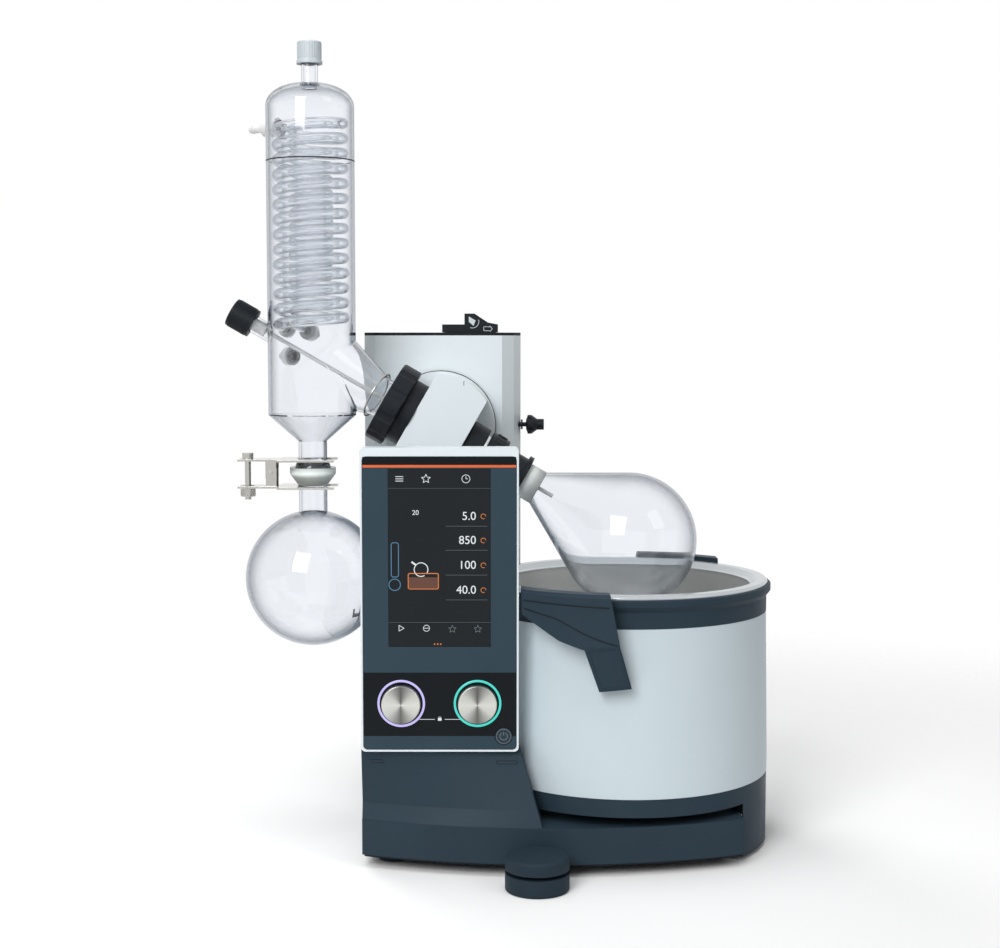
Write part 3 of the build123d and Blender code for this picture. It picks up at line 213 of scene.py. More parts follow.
def moulding(name, dark, pale, grain=900, bump=0.12, low=0.4, high=0.55, metallic=0.0, gloss=0.5,
             edge=0.0007):
    # painted or moulded surface: two close shades, grain and a cloudy gloss
    material, tree, shader = newMaterial(name)
    group = useGroup(tree, grainGroup, {"Grain": grain, "Rough Low": low, "Rough High": high})
    shade = tree.nodes.new("ShaderNodeMix")
    shade.data_type = "RGBA"
    shade.inputs[6].default_value = (*dark, 1)
    shade.inputs[7].default_value = (*pale, 1)
    tree.links.new(group.outputs["Cloudiness"], shade.inputs[0])
    tree.links.new(shade.outputs[2], shader.inputs["Base Color"])
    tree.links.new(group.outputs["Roughness"], shader.inputs["Roughness"])
    addBump(tree, shader, group.outputs["Height"], bump, 0.0002, edge)
    shader.inputs["Metallic"].default_value = metallic
    shader.inputs["Specular IOR Level"].default_value = gloss
    return material


def brushed(name, color, along=(6, 6, 900), low=0.2, high=0.34, bump=0.08, metallic=1.0, edge=0.0005):
    material, tree, shader = newMaterial(name)
    values = {"Rough Low": low, "Rough High": high}
    for label, stretch in zip(("Along X", "Along Y", "Along Z"), along):
        values[label] = stretch
    group = useGroup(tree, brushGroup, values)
    shader.inputs["Base Color"].default_value = (*color, 1)
    shader.inputs["Metallic"].default_value = metallic
    tree.links.new(group.outputs["Roughness"], shader.inputs["Roughness"])
    addBump(tree, shader, group.outputs["Height"], bump, 0.0001, edge)
    return material


def vesselSteelPaintedBounce(name, rim, paintedBounceTone, turn, blend):
    # brushed steel that is paler below a height: the paler tone is painted light, standing in for the light
    # the vessel's wall throws on itself
    material = brushed(name, rim, along=(5, 5, 1600), low=0.24, high=0.28, bump=0.003, metallic=0.85)
    tree = material.node_tree
    shader = tree.nodes["Principled BSDF"]
    spot = tree.nodes.new("ShaderNodeTexCoord")
    flat = tree.nodes.new("ShaderNodeSeparateXYZ")
    depth = tree.nodes.new("ShaderNodeMapRange")
    depth.inputs["From Min"].default_value = turn - blend
    depth.inputs["From Max"].default_value = turn
    shade = tree.nodes.new("ShaderNodeMix")
    shade.data_type = "RGBA"
    # paler tone below the rim height: painted light for the light the wall throws on itself
    shade.inputs[6].default_value = (*paintedBounceTone, 1)
    shade.inputs[7].default_value = (*rim, 1)
    tree.links.new(spot.outputs["Object"], flat.inputs[0])
    tree.links.new(flat.outputs["Z"], depth.inputs["Value"])
    tree.links.new(depth.outputs[0], shade.inputs[0])
    tree.links.new(shade.outputs[2], shader.inputs["Base Color"])
    return material


def blownGlass(name, clear, edge, ior=1.46):
    # lamp-blown glass: clear face on, darker towards the grazing edges: partly the tint of the wall seen
    # along its length, partly painted shade for the dark outlines of the glass
    material, tree, shader = newMaterial(name)
    group = useGroup(tree, grainGroup, {"Grain": 9, "Cloud": 5})
    facing = tree.nodes.new("ShaderNodeLayerWeight")
    facing.inputs["Blend"].default_value = 0.35
    rim = tree.nodes.new("ShaderNodeMapRange")
    rim.interpolation_type = "SMOOTHSTEP"
    rim.inputs["From Min"].default_value = 0.22
    rim.inputs["From Max"].default_value = 0.74
    tint = tree.nodes.new("ShaderNodeMix")
    tint.data_type = "RGBA"
    tint.inputs[6].default_value = (*clear, 1)
    tint.inputs[7].default_value = (*edge, 1)
    tree.links.new(facing.outputs["Facing"], rim.inputs["Value"])
    tree.links.new(rim.outputs[0], tint.inputs[0])
    tree.links.new(tint.outputs[2], shader.inputs["Base Color"])
    shader.inputs["IOR"].default_value = ior
    shader.inputs["Transmission Weight"].default_value = 1
    shader.inputs["Roughness"].default_value = 0
    addBump(tree, shader, group.outputs["Height"], 0.02, 0.001)
    return material


def glowing(name, color, strength):
    # a light behind a satin window
    material, tree, shader = newMaterial(name)
    satin = {"Grain": 1200, "Cloud": 60, "Rough Low": 0.25, "Rough High": 0.35}
    group = useGroup(tree, grainGroup, satin)
    tree.links.new(group.outputs["Roughness"], shader.inputs["Roughness"])
    addBump(tree, shader, group.outputs["Height"], 0.03, 0.0001)
    shader.inputs["Base Color"].default_value = (0.01, 0.01, 0.01, 1)
    shader.inputs["Emission Color"].default_value = (*color, 1)
    shader.inputs["Emission Strength"].default_value = strength
    return material


slate = moulding("slateMoulding", (0.017, 0.031, 0.045), (0.024, 0.042, 0.058), grain=1100, bump=0.2,
                 low=0.42, high=0.58, gloss=0.12)
black = moulding("blackMoulding", (0.007, 0.009, 0.012), (0.012, 0.015, 0.019), grain=1000, bump=0.15,
                 low=0.32, high=0.46, gloss=0.13)
footBlack = moulding("footRubber", (0.012, 0.022, 0.032), (0.019, 0.032, 0.045), grain=700, bump=0.22,
                     low=0.5, high=0.66, gloss=0.12)
whitePaint = moulding("whitePaint", (0.66, 0.72, 0.75), (0.69, 0.75, 0.78), grain=1400, bump=0.04,
                      low=0.3, high=0.4)
silverPaint = moulding("silverPaint", (0.52, 0.6, 0.64), (0.56, 0.64, 0.68), grain=2400, bump=0.05,
                       low=0.42, high=0.5, gloss=0.12)
greyCap = moulding("greyCap", (0.5, 0.56, 0.59), (0.55, 0.61, 0.64), grain=900, bump=0.08,
                   low=0.4, high=0.5)
fasciaFoil = moulding("fasciaFoil", (0.025, 0.046, 0.063), (0.03, 0.053, 0.071), grain=1600, bump=0.05,
                      low=0.38, high=0.46, gloss=0.12)
screenGloss = moulding("screenGloss", (0.005, 0.008, 0.011), (0.007, 0.011, 0.014), grain=60, bump=0.01,
                       low=0.05, high=0.09, gloss=0.2, edge=0)
bandGloss = moulding("bandGloss", (0.005, 0.007, 0.009), (0.007, 0.009, 0.011), grain=80, bump=0.01,
                     low=0.1, high=0.14, gloss=0.1, edge=0)
whiteSeal = moulding("whiteSeal", (0.74, 0.75, 0.74), (0.8, 0.81, 0.8), grain=300, bump=0.03,
                     low=0.3, high=0.4)
darkMotor = moulding("darkMotor", (0.03, 0.032, 0.035), (0.05, 0.052, 0.056), grain=500, bump=0.1,
                     metallic=0.4)
boardGreen = moulding("boardGreen", (0.01, 0.07, 0.03), (0.015, 0.1, 0.045), grain=300, bump=0.05,
                      low=0.3, high=0.4)
orangeTrim = moulding("orangeTrim", (0.6, 0.1, 0.02), (0.66, 0.12, 0.025), bump=0.03,
                      low=0.35, high=0.45, edge=0)
stainless = brushed("stainless", (0.6, 0.63, 0.64), along=(5, 5, 1600), low=0.22, high=0.32,
                    bump=0.015, metallic=0.8)
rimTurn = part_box("bath_vessel")[1].z - 0.004
# the paler second colour is painted light within the vessel, for the light its wall throws on itself
bathSteelPaintedBounce = vesselSteelPaintedBounce("bathSteelPaintedBounce", (0.5, 0.53, 0.55), (0.8, 0.81, 0.8), rimTurn, 0.006)
machined = brushed("machined", (0.66, 0.67, 0.68), along=(500, 500, 500), low=0.22, high=0.36)
plated = brushed("plated", (0.5, 0.49, 0.46), along=(300, 300, 300), low=0.08, high=0.18, bump=0.03)
# the second colour of each glass, at the grazing edges, is partly the wall's tint and partly painted shade
clearGlass = blownGlass("clearGlass", (0.925, 0.94, 0.965), (0.045, 0.07, 0.11))
coilGlass = blownGlass("coilGlass", (0.965, 0.97, 0.98), (0.22, 0.26, 0.31))

finishes = {
    "slate": (slate, ["base_plate", "base_skirt", "bath_base", "bath_collar", "power_button"]),
    "black": (black, ["column_lid", "top_slider", "tilt_lock", "hose_hook", "thread_collar", "union_nut",
                      "hub_flange", "release_ring", "flask_clip", "feed_cap", "mains_inlet", "base_bottom"]),
    "foot": (footBlack, ["front_foot", "rubber_feet", "drive_belt"]),
    "white": (whitePaint, ["column_sleeve", "rear_cover", "head_housing", "panel_frame"]),
    "silver": (silverPaint, ["bath_shell"]),
    "grey": (greyCap, ["top_cap"]),
    "fascia": (fasciaFoil, ["panel_fascia"]),
    "screen": (screenGloss, ["display"]),
    "seal": (whiteSeal, ["shaft_seal", "feed_tube", "hose_nozzles"]),
    "motor": (darkMotor, ["drive_motor", "lift_motor"]),
    "board": (boardGreen, ["panel_board"]),
    "vessel": (bathSteelPaintedBounce, ["bath_vessel"]),
    "stainless": (stainless, ["heating_element", "bath_runners", "lift_mast"]),
    "machined": (machined, ["mast_rails", "lift_spindle", "lift_carriage", "tilt_journal", "hub_bearings",
                            "drive_hub", "motor_pulley", "left_knob_stem", "right_knob_stem",
                            "power_supply"]),
    "plated": (plated, ["clip_upper_jaw", "clip_lower_jaw", "clip_nut"]),
    "glass": (clearGlass, ["condenser_jacket", "receiving_flask", "vapour_tube", "evaporating_flask"]),
    "coil": (coilGlass, ["outer_coil", "inner_coil", "coil_links"]),
}
for finish, names in finishes.values():
    for name in names:
        nodes[name].data.materials.clear()
        nodes[name].data.materials.append(finish)
print("finishes on the CAD nodes")


# mesh helpers: every piece ends at the origin with its place in its mesh

def place(name, mesh, material, body):
    piece = bpy.data.objects.new(name, mesh)
    scene.collection.objects.link(piece)
    mesh.materials.clear()
    mesh.materials.append(material)
    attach(piece, body)
    return piece


def lathe(profile, steps, matrix):
    # profile of (radius, height) points turned about Z into a closed shell
    mesh = bpy.data.meshes.new("lathe")
    shape = bmesh.new()
    rings = []
    for step in range(steps):
        turn = tau * step / steps
        rings.append([shape.verts.new((r * cos(turn), r * sin(turn), h)) for r, h in profile])
    count = len(profile)
    for step in range(steps):
        here, there = rings[step], rings[(step + 1) % steps]
        for i in range(count):
            j = (i + 1) % count
            shape.faces.new((here[i], there[i], there[j], here[j]))
    bmesh.ops.remove_doubles(shape, verts=shape.verts, dist=1e-7)
    bmesh.ops.recalc_face_normals(shape, faces=shape.faces)
    for face in shape.faces:
        face.smooth = True
    shape.transform(matrix)
    shape.to_mesh(mesh)
    shape.free()
    return mesh


def rectangle(left, right, low, high):
    # outline of a plate, or the section of a hoop from its radii and heights
    return [(left, low), (right, low), (right, high), (left, high)]


def flatPlates(outlines, front, thickness):
    # closed outlines of (x, z) points as thin plates facing the front, at one y or on a surface
    mesh = bpy.data.meshes.new("plates")
    shape = bmesh.new()
    for outline in outlines:
        levels = [front(x, z) if callable(front) else front for x, z in outline]
        near = [shape.verts.new((x, y, z)) for (x, z), y in zip(outline, levels)]
        far = [shape.verts.new((x, y + thickness, z)) for (x, z), y in zip(outline, levels)]
        shape.faces.new(near)
        shape.faces.new(list(reversed(far)))
        for i in range(len(outline)):
            j = (i + 1) % len(outline)
            shape.faces.new((near[i], far[i], far[j], near[j]))
    bmesh.ops.recalc_face_normals(shape, faces=shape.faces)
    shape.to_mesh(mesh)
    shape.free()
    return mesh


def ribTree():
    # boxes stood round a circle: the ribs of caps, nuts and grips
    tree = bpy.data.node_groups.new("ribsRound", "GeometryNodeTree")
    for label, kind in [("Count", "NodeSocketInt"), ("Radius", "NodeSocketFloat"),
                        ("Size", "NodeSocketVector"), ("Finish", "NodeSocketMaterial")]:
        tree.interface.new_socket(name=label, in_out="INPUT", socket_type=kind)
    tree.interface.new_socket(name="Geometry", in_out="OUTPUT", socket_type="NodeSocketGeometry")
    entry = tree.nodes.new("NodeGroupInput")
    leave = tree.nodes.new("NodeGroupOutput")
    ring = tree.nodes.new("GeometryNodeMeshCircle")
    rib = tree.nodes.new("GeometryNodeMeshCube")
    spot = tree.nodes.new("GeometryNodeInputPosition")
    turn = tree.nodes.new("FunctionNodeAlignRotationToVector")
    turn.axis = "X"
    stand = tree.nodes.new("GeometryNodeInstanceOnPoints")
    real = tree.nodes.new("GeometryNodeRealizeInstances")
    paint = tree.nodes.new("GeometryNodeSetMaterial")
    link = tree.links.new
    link(entry.outputs["Count"], ring.inputs["Vertices"])
    link(entry.outputs["Radius"], ring.inputs["Radius"])
    link(entry.outputs["Size"], rib.inputs["Size"])
    link(spot.outputs[0], turn.inputs["Vector"])
    link(ring.outputs["Mesh"], stand.inputs["Points"])
    link(rib.outputs["Mesh"], stand.inputs["Instance"])
    link(turn.outputs[0], stand.inputs["Rotation"])
    link(stand.outputs["Instances"], real.inputs["Geometry"])
    link(real.outputs["Geometry"], paint.inputs["Geometry"])
    link(entry.outputs["Finish"], paint.inputs["Material"])
    link(paint.outputs["Geometry"], leave.inputs["Geometry"])
    return tree


ribs = ribTree()


def growTree(name, tree, values, matrix, material, body):
    # runs a geometry tree on an empty mesh and keeps the result as a plain mesh
    holder = bpy.data.objects.new(name + "Source", bpy.data.meshes.new(name))
    scene.collection.objects.link(holder)
    modifier = holder.modifiers.new("tree", "NODES")
    modifier.node_group = tree
    for item in tree.interface.items_tree:
        if item.in_out == "INPUT" and item.name in values:
            modifier[item.identifier] = values[item.name]
    bpy.context.view_layer.update()
    ready = holder.evaluated_get(bpy.context.evaluated_depsgraph_get())
    mesh = bpy.data.meshes.new_from_object(ready)
    holder.modifiers.clear()
    bpy.data.objects.remove(holder)
    mesh.transform(matrix)
    return place(name, mesh, material, body)


def upright(point):
    return Matrix.Translation(point)


def onDrive(along):
    return driveFrame @ upright(Vector((0, 0, along)))


def onCondenser(height):
    return upright(Vector((condenserPoint.x, condenserPoint.y, height)))


def addRibs(name, sizes, matrix, material, body):
    values = {"Count": sizes["count"], "Radius": sizes["radius"], "Size": sizes["size"], "Finish": material}
    growTree(name, ribs, values, matrix, material, body)


# caps, nut and grips get their ribs

capRibs = {"count": 30, "size": (0.0006, 0.0009, 0.015), "radius": 0.0113, "height": 0.0125}
capSpot = condenserPoint + Vector((0, 0, capRibs["height"]))
addRibs("topCapRibs", capRibs, upright(capSpot), greyCap, "top_cap")

feedRibs = {"count": 34, "size": (0.0008, 0.0011, 0.018), "radius": 0.01385, "along": -0.2158}
addRibs("feedCapRibs", feedRibs, onDrive(feedRibs["along"]), black, "feed_cap")

releaseRibs = {"count": 28, "size": (0.0008, 0.0022, 0.011), "radius": 0.0252, "along": 0.0578}
addRibs("releaseRingRibs", releaseRibs, onDrive(releaseRibs["along"]), black, "release_ring")

nutLow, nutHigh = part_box("clip_nut")
nutRibs = {"count": 32, "size": (0.0006, 0.0007, 0.0066), "radius": 0.00695}
addRibs("clipNutKnurl", nutRibs, upright((nutLow + nutHigh) / 2), plated, "clip_nut")
print("ribs on the caps and grips")


# ground joint of the turning flask: a frosted sleeve on its neck
neckFrost = {"from": 0.0835, "to": 0.111, "radius": 0.0168, "proud": 0.00025, "sunk": 0.0001,
             "steps": 96}
frost = moulding("groundGlass", (0.8, 0.86, 0.84), (0.86, 0.92, 0.9), grain=1500, bump=0.25,
                 low=0.5, high=0.62)
sleeveSection = rectangle(neckFrost["radius"] - neckFrost["sunk"], neckFrost["radius"] + neckFrost["proud"],
                          neckFrost["from"], neckFrost["to"])
place("neckFrost", lathe(sleeveSection, neckFrost["steps"], driveFrame), frost, "rotor")

# ground zone of the ball joint: frost on the outside of the cup
cup = {"low": 0.3429, "bend": 0.354, "high": 0.3602, "neck": 0.0137, "wide": 0.0218, "proud": 0.0002,
       "steps": 96}
cupNeck, cupWide = cup["neck"] + cup["proud"], cup["wide"] + cup["proud"]
cupSection = [(cup["neck"], cup["low"]), (cupNeck, cup["low"]), (cupWide, cup["bend"]),
              (cupWide, cup["high"]), (cup["wide"], cup["high"]), (cup["wide"], cup["bend"])]
place("cupFrost", lathe(cupSection, cup["steps"], onCondenser(0)), frost, "head")

# line printed round the condenser jacket
jacketLine = {"height": 0.652, "radius": 0.0421, "proud": 0.00012, "sunk": 0.0002, "width": 0.0011,
              "steps": 128}
lineSection = rectangle(jacketLine["radius"] - jacketLine["sunk"], jacketLine["radius"] + jacketLine["proud"],
                        -jacketLine["width"] / 2, jacketLine["width"] / 2)
lineSpot = onCondenser(jacketLine["height"])
place("jacketLine", lathe(lineSection, jacketLine["steps"], lineSpot), black, "head")

# spring wire that holds the condenser's flange
wire = {"along": -0.0675, "ring": 0.0226, "thick": 0.0009, "lean": -11, "sides": 10,
        "steps": 64}
wireTurns = [tau * k / wire["sides"] for k in range(wire["sides"])]
wireSection = [(wire["ring"] + wire["thick"] * cos(turn), wire["thick"] * sin(turn)) for turn in wireTurns]
lean = Matrix.Rotation(radians(wire["lean"]), 4, "X")
wireSpot = onDrive(wire["along"]) @ lean
place("flangeWire", lathe(wireSection, wire["steps"], wireSpot), plated, "head")


# control panel: trim, gloss band, lit rings, icons and readouts

panelLow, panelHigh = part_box("panel_fascia")
panelFront = panelLow.y
screenLow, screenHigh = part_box("display")
panel = {
    "stripLow": 0.3713, "orangeLow": 0.369, "bandTop": 0.1835, "bandLow": 0.1255, "buttonGap": 0.0004,
    "edge": 0.0004, "topEdge": 0.0003, "proud": 0.00015, "sunk": 0.0002,
    "ringOuter": 0.0215, "ringInner": 0.0195, "ringDeep": 0.0006, "ringStart": 0.0001, "ringSteps": 96,
    "notchSteps": 18,
}


def roundRectangle(left, right, low, high, radius, steps=6):
    points = []
    corners = [(right - radius, high - radius, 0), (left + radius, high - radius, 90),
               (left + radius, low + radius, 180), (right - radius, low + radius, 270)]
    for x, z, start in corners:
        for k in range(steps + 1):
            turn = radians(start + 90 * k / steps)
            points.append((x + radius * cos(turn), z + radius * sin(turn)))
    return points


def onFascia(outline):
    return flatPlates([outline], panelFront - panel["proud"], panel["proud"] + panel["sunk"])


fasciaLeft, fasciaRight = panelLow.x + panel["edge"], panelHigh.x - panel["edge"]
stripTop = panelHigh.z - panel["topEdge"]
strip = onFascia(rectangle(fasciaLeft, fasciaRight, panel["stripLow"], stripTop))
place("panelStrip", strip, bandGloss, "base")
orange = onFascia(rectangle(fasciaLeft, fasciaRight, panel["orangeLow"], panel["stripLow"]))
place("panelOrangeLine", orange, orangeTrim, "base")
buttonLow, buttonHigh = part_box("power_button")
button = (buttonLow + buttonHigh) / 2
free = (buttonHigh.x - buttonLow.x) / 2 + panel["buttonGap"]
notchTurns = [radians(180 * k / panel["notchSteps"]) for k in range(panel["notchSteps"] + 1)]
notch = [(button.x - free * cos(turn), panel["bandLow"] + free * sin(turn)) for turn in notchTurns]
bandOutline = [(fasciaLeft, panel["bandLow"]), *notch, (fasciaRight, panel["bandLow"]),
               (fasciaRight, panel["bandTop"]), (fasciaLeft, panel["bandTop"])]
place("knobBand", onFascia(bandOutline), bandGloss, "base")

lavender = glowing("lavenderLight", (0.58, 0.52, 0.95), 1.0)
turquoise = glowing("turquoiseLight", (0.06, 0.7, 0.6), 1.0)
uiWhite = glowing("readoutWhite", (0.85, 0.9, 0.92), 0.9)
uiOrange = glowing("readoutOrange", (0.9, 0.25, 0.04), 0.8)
uiBlue = glowing("readoutBlue", (0.1, 0.35, 0.6), 0.6)
uiGrey = glowing("readoutGrey", (0.2, 0.25, 0.28), 0.5)
uiEmber = glowing("readoutEmber", (0.16, 0.035, 0.006), 0.6)

faceFront = Matrix.Rotation(radians(90), 4, "X")
for side, light in (("left", lavender), ("right", turquoise)):
    low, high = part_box(side + "_knob")
    middle = (low + high) / 2
    ringSection = rectangle(panel["ringInner"], panel["ringOuter"], 0, panel["ringDeep"])
    spot = Vector((middle.x, panelFront - panel["ringStart"], middle.z))
    ring = lathe(ringSection, panel["ringSteps"], upright(spot) @ faceFront)
    place(side + "KnobLight", ring, light, "base")


def ribbon(points, width, closed=False):
    # flat strokes as short quads, for icons and rules
    quads = []
    pairs = list(zip(points, points[1:] + points[:1])) if closed else list(zip(points, points[1:]))
    for (x0, z0), (x1, z1) in pairs:
        run = Vector((x1 - x0, z1 - z0))
        if run.length < 1e-9:
            continue
        side = Vector((-run.y, run.x)).normalized() * width / 2
        quads.append([(x0 + side.x, z0 + side.y), (x0 - side.x, z0 - side.y),
                      (x1 - side.x, z1 - side.y), (x1 + side.x, z1 + side.y)])
    return quads


def arc(x, z, radius, start, end, steps=20):
    turns = [radians(start + (end - start) * k / steps) for k in range(steps + 1)]
    return [(x + radius * cos(turn), z + radius * sin(turn)) for turn in turns]


screen = {"glow": 0.00012, "thick": 0.0001, "starWaist": 0.45, "starTips": 5}
left, right = screenLow.x, screenHigh.x
bottom, top = screenLow.z, screenHigh.z
wide, tall = right - left, top - bottom


def onScreen(u, v):
    # u from the left edge, v from the top edge, both as shares of the display
    return left + u * wide, top - v * tall


def onIcon(spot, points):
    # points about a spot of the display
    x, z = onScreen(*spot)
    return [(x + dx, z + dz) for dx, dz in points]


def ringIcon(spot, radius, start=0, end=360, steps=20):
    x, z = onScreen(*spot)
    return arc(x, z, radius, start, end, steps)


def starIcon(spot, size):
    count = 2 * screen["starTips"]
    reaches = [size if k % 2 == 0 else size * screen["starWaist"] for k in range(count)]
    points = [(r * sin(tau * k / count), r * cos(tau * k / count)) for k, r in enumerate(reaches)]
    return onIcon(spot, points)


strokes = {"ember": [], "white": [], "orange": [], "blue": [], "grey": []}

menuIcon = {"spot": (0.11, 0.055), "half": 0.0035, "step": 0.002, "line": 0.0006}
for k in (-1, 0, 1):
    bar = [(-menuIcon["half"], menuIcon["step"] * k), (menuIcon["half"], menuIcon["step"] * k)]
    strokes["white"] += ribbon(onIcon(menuIcon["spot"], bar), menuIcon["line"])

starIcons = {"line": 0.0005, "places": [("white", (0.37, 0.055), 0.0042), ("grey", (0.625, 0.9), 0.0036),
                                        ("grey", (0.875, 0.9), 0.0036)]}
for tint, spot, size in starIcons["places"]:
    strokes[tint] += ribbon(starIcon(spot, size), starIcons["line"], closed=True)

clockIcon = {"spot": (0.76, 0.055), "radius": 0.0036, "hands": [(0, 0.0024), (0, 0), (0.0018, 0)],
             "line": 0.0005}
strokes["white"] += ribbon(ringIcon(clockIcon["spot"], clockIcon["radius"]), clockIcon["line"])
strokes["white"] += ribbon(onIcon(clockIcon["spot"], clockIcon["hands"]), clockIcon["line"])

rows = {"at": (0.32, 0.455, 0.595, 0.735), "from": 0.56, "to": 0.97, "line": 0.0003,
        "dialAt": 0.93, "dialUp": 0.055, "dialRadius": 0.0022, "dialEnd": 300, "dialLine": 0.0005}
for v in rows["at"]:
    strokes["grey"] += ribbon([onScreen(rows["from"], v), onScreen(rows["to"], v)], rows["line"])
    dial = ringIcon((rows["dialAt"], v - rows["dialUp"]), rows["dialRadius"], 0, rows["dialEnd"], 12)
    strokes["orange"] += ribbon(dial, rows["dialLine"])

barRules = {"at": (0.108, 0.862), "line": 0.0002}
for v in barRules["at"]:
    strokes["grey"] += ribbon([onScreen(0, v), onScreen(1, v)], barRules["line"])

bathIcon = {"spot": (0.33, 0.62), "water": (-0.0123, 0.0143, -0.0083, 0.002), "line": 0.0008,
            "vessel": (-0.0125, 0.0145, -0.0085, 0.0055, 0.0012), "ball": (-0.001, 0.009, 0.0062, -30, 300),
            "neck": [(-0.0055, 0.013), (-0.0095, 0.016)], "neckLine": 0.0016}
strokes["ember"].append(onIcon(bathIcon["spot"], rectangle(*bathIcon["water"])))
vessel = onIcon(bathIcon["spot"], roundRectangle(*bathIcon["vessel"]))
strokes["orange"] += ribbon(vessel, bathIcon["line"], closed=True)
strokes["white"] += ribbon(onIcon(bathIcon["spot"], arc(*bathIcon["ball"])), bathIcon["line"])
strokes["white"] += ribbon(onIcon(bathIcon["spot"], bathIcon["neck"]), bathIcon["neckLine"])

coolIcon = {"spot": (0.06, 0.5), "jacket": (-0.003, 0.0035, -0.017, 0.014, 0.002),
            "ball": (0, -0.024, 0.0052, 60, 420), "line": 0.0007}
jacket = onIcon(coolIcon["spot"], roundRectangle(*coolIcon["jacket"]))
strokes["blue"] += ribbon(jacket, coolIcon["line"], closed=True)
strokes["blue"] += ribbon(onIcon(coolIcon["spot"], arc(*coolIcon["ball"])), coolIcon["line"])

startIcon = {"spot": (0.12, 0.895), "points": [(-0.0018, -0.0026), (0.0028, 0), (-0.0018, 0.0026)],
             "line": 0.0005}
strokes["white"] += ribbon(onIcon(startIcon["spot"], startIcon["points"]), startIcon["line"], closed=True)

stopIcon = {"spot": (0.37, 0.895), "radius": 0.0028, "bar": [(-0.002, 0), (0.002, 0)], "line": 0.0005}
strokes["white"] += ribbon(ringIcon(stopIcon["spot"], stopIcon["radius"]), stopIcon["line"])
strokes["white"] += ribbon(onIcon(stopIcon["spot"], stopIcon["bar"]), stopIcon["line"])

pageDots = {"at": (0.45, 0.48, 0.51), "down": 0.985, "radius": 0.0007}
for u in pageDots["at"]:
    strokes["orange"].append(ringIcon((u, pageDots["down"]), pageDots["radius"], 0, 330, 8))
tints = {"ember": uiEmber, "white": uiWhite, "orange": uiOrange, "blue": uiBlue, "grey": uiGrey}
for tint, shapes in strokes.items():
    plates = flatPlates(shapes, screenLow.y - screen["glow"], screen["thick"])
    place("readout" + tint.capitalize(), plates, tints[tint], "base")


def figure(name, words, u, v, size, material):
    # a plain number on the display, turned to a mesh
    text = bpy.data.curves.new(name, "FONT")
    text.body = words
    text.size = size
    text.align_x = "RIGHT"
    text.align_y = "CENTER"
    holder = bpy.data.objects.new(name + "Source", text)
    scene.collection.objects.link(holder)
    bpy.context.view_layer.update()
    ready = holder.evaluated_get(bpy.context.evaluated_depsgraph_get())
    mesh = bpy.data.meshes.new_from_object(ready)
    bpy.data.objects.remove(holder)
    x, z = onScreen(u, v)
    mesh.transform(Matrix.Translation((x, screenLow.y - screen["glow"], z)) @ faceFront)
    return place(name, mesh, material, "base")


readings = {"right": 0.86, "size": 0.0105, "small": ("20", 0.3, 0.245, 0.0062),
            "rows": [("5.0", 0.265), ("850", 0.4), ("100", 0.54), ("40.0", 0.68)]}
for number, (words, v) in enumerate(readings["rows"]):
    figure("reading" + str(number), words, readings["right"], v, readings["size"], uiWhite)
figure("readingSmall", *readings["small"], uiWhite)

# lock mark between the knobs and the mark on the power button
lockMark = {"x": -0.0532, "z": 0.1408, "stroke": 0.0004, "near": 0.0045, "far": 0.0185, "half": 0.0016,
            "rise": 0.0012, "bow": 0.0011, "proud": 0.0003, "thick": 0.0001}
lx, lz = lockMark["x"], lockMark["z"]
lockLow, lockHigh = lz - lockMark["rise"], lz + lockMark["rise"]
marks = [rectangle(lx - lockMark["half"], lx + lockMark["half"], lockLow, lockHigh)]
marks += ribbon(arc(lx, lockHigh, lockMark["bow"], 0, 180, 10), lockMark["stroke"])
for way in (-1, 1):
    marks += ribbon([(lx + way * lockMark["near"], lz), (lx + way * lockMark["far"], lz)], lockMark["stroke"])
place("lockMark", flatPlates(marks, panelFront - lockMark["proud"], lockMark["thick"]), uiWhite, "base")

powerMark = {"radius": 0.0034, "stroke": 0.0007, "barLow": 0.0005, "barHigh": 0.0042, "ring": 0.0066,
             "ringStroke": 0.0006, "thick": 0.0001}
bx, bz = button.x, button.z
powerLines = ribbon(arc(bx, bz, powerMark["radius"], 120, 420), powerMark["stroke"])
powerLines += ribbon([(bx, bz + powerMark["barLow"]), (bx, bz + powerMark["barHigh"])], powerMark["stroke"])
powerLines += ribbon(arc(bx, bz, powerMark["ring"], 0, 360, 40), powerMark["ringStroke"])
powerPlates = flatPlates(powerLines, buttonLow.y - powerMark["thick"], powerMark["thick"])
place("powerMark", powerPlates, uiGrey, "power_button")
print("panel dressed")


# outlines of the slots in the skirt and the tilt mark on the drum

def frontOf(name, x, z):
    # y of the first surface of a node that is met from the front
    node = nodes[name]
    back = node.matrix_world.inverted()
    start, heading = back @ Vector((x, -1, z)), back.to_3x3() @ Vector((0, 1, 0))
    hit, point, normal, index = node.ray_cast(start, heading)
    return (node.matrix_world @ point).y if hit else None


skirtSlots = {"z": 0.1004, "tall": 0.0026, "spans": [(-0.1162, -0.1044), (-0.0018, 0.0169)],
              "round": 0.0008, "line": 0.0005, "proud": 0.00012, "deep": 0.0004}
slotLow = skirtSlots["z"] - skirtSlots["tall"] / 2
slotHigh = skirtSlots["z"] + skirtSlots["tall"] / 2


def onSkirt(x, z):
    return frontOf("base_skirt", x, z) - skirtSlots["proud"]


for number, (fromX, toX) in enumerate(skirtSlots["spans"]):
    outline = roundRectangle(fromX, toX, slotLow, slotHigh, skirtSlots["round"])
    edges = ribbon(outline, skirtSlots["line"], closed=True)
    place("skirtSlot" + str(number), flatPlates(edges, onSkirt, skirtSlots["deep"]), black, "base")

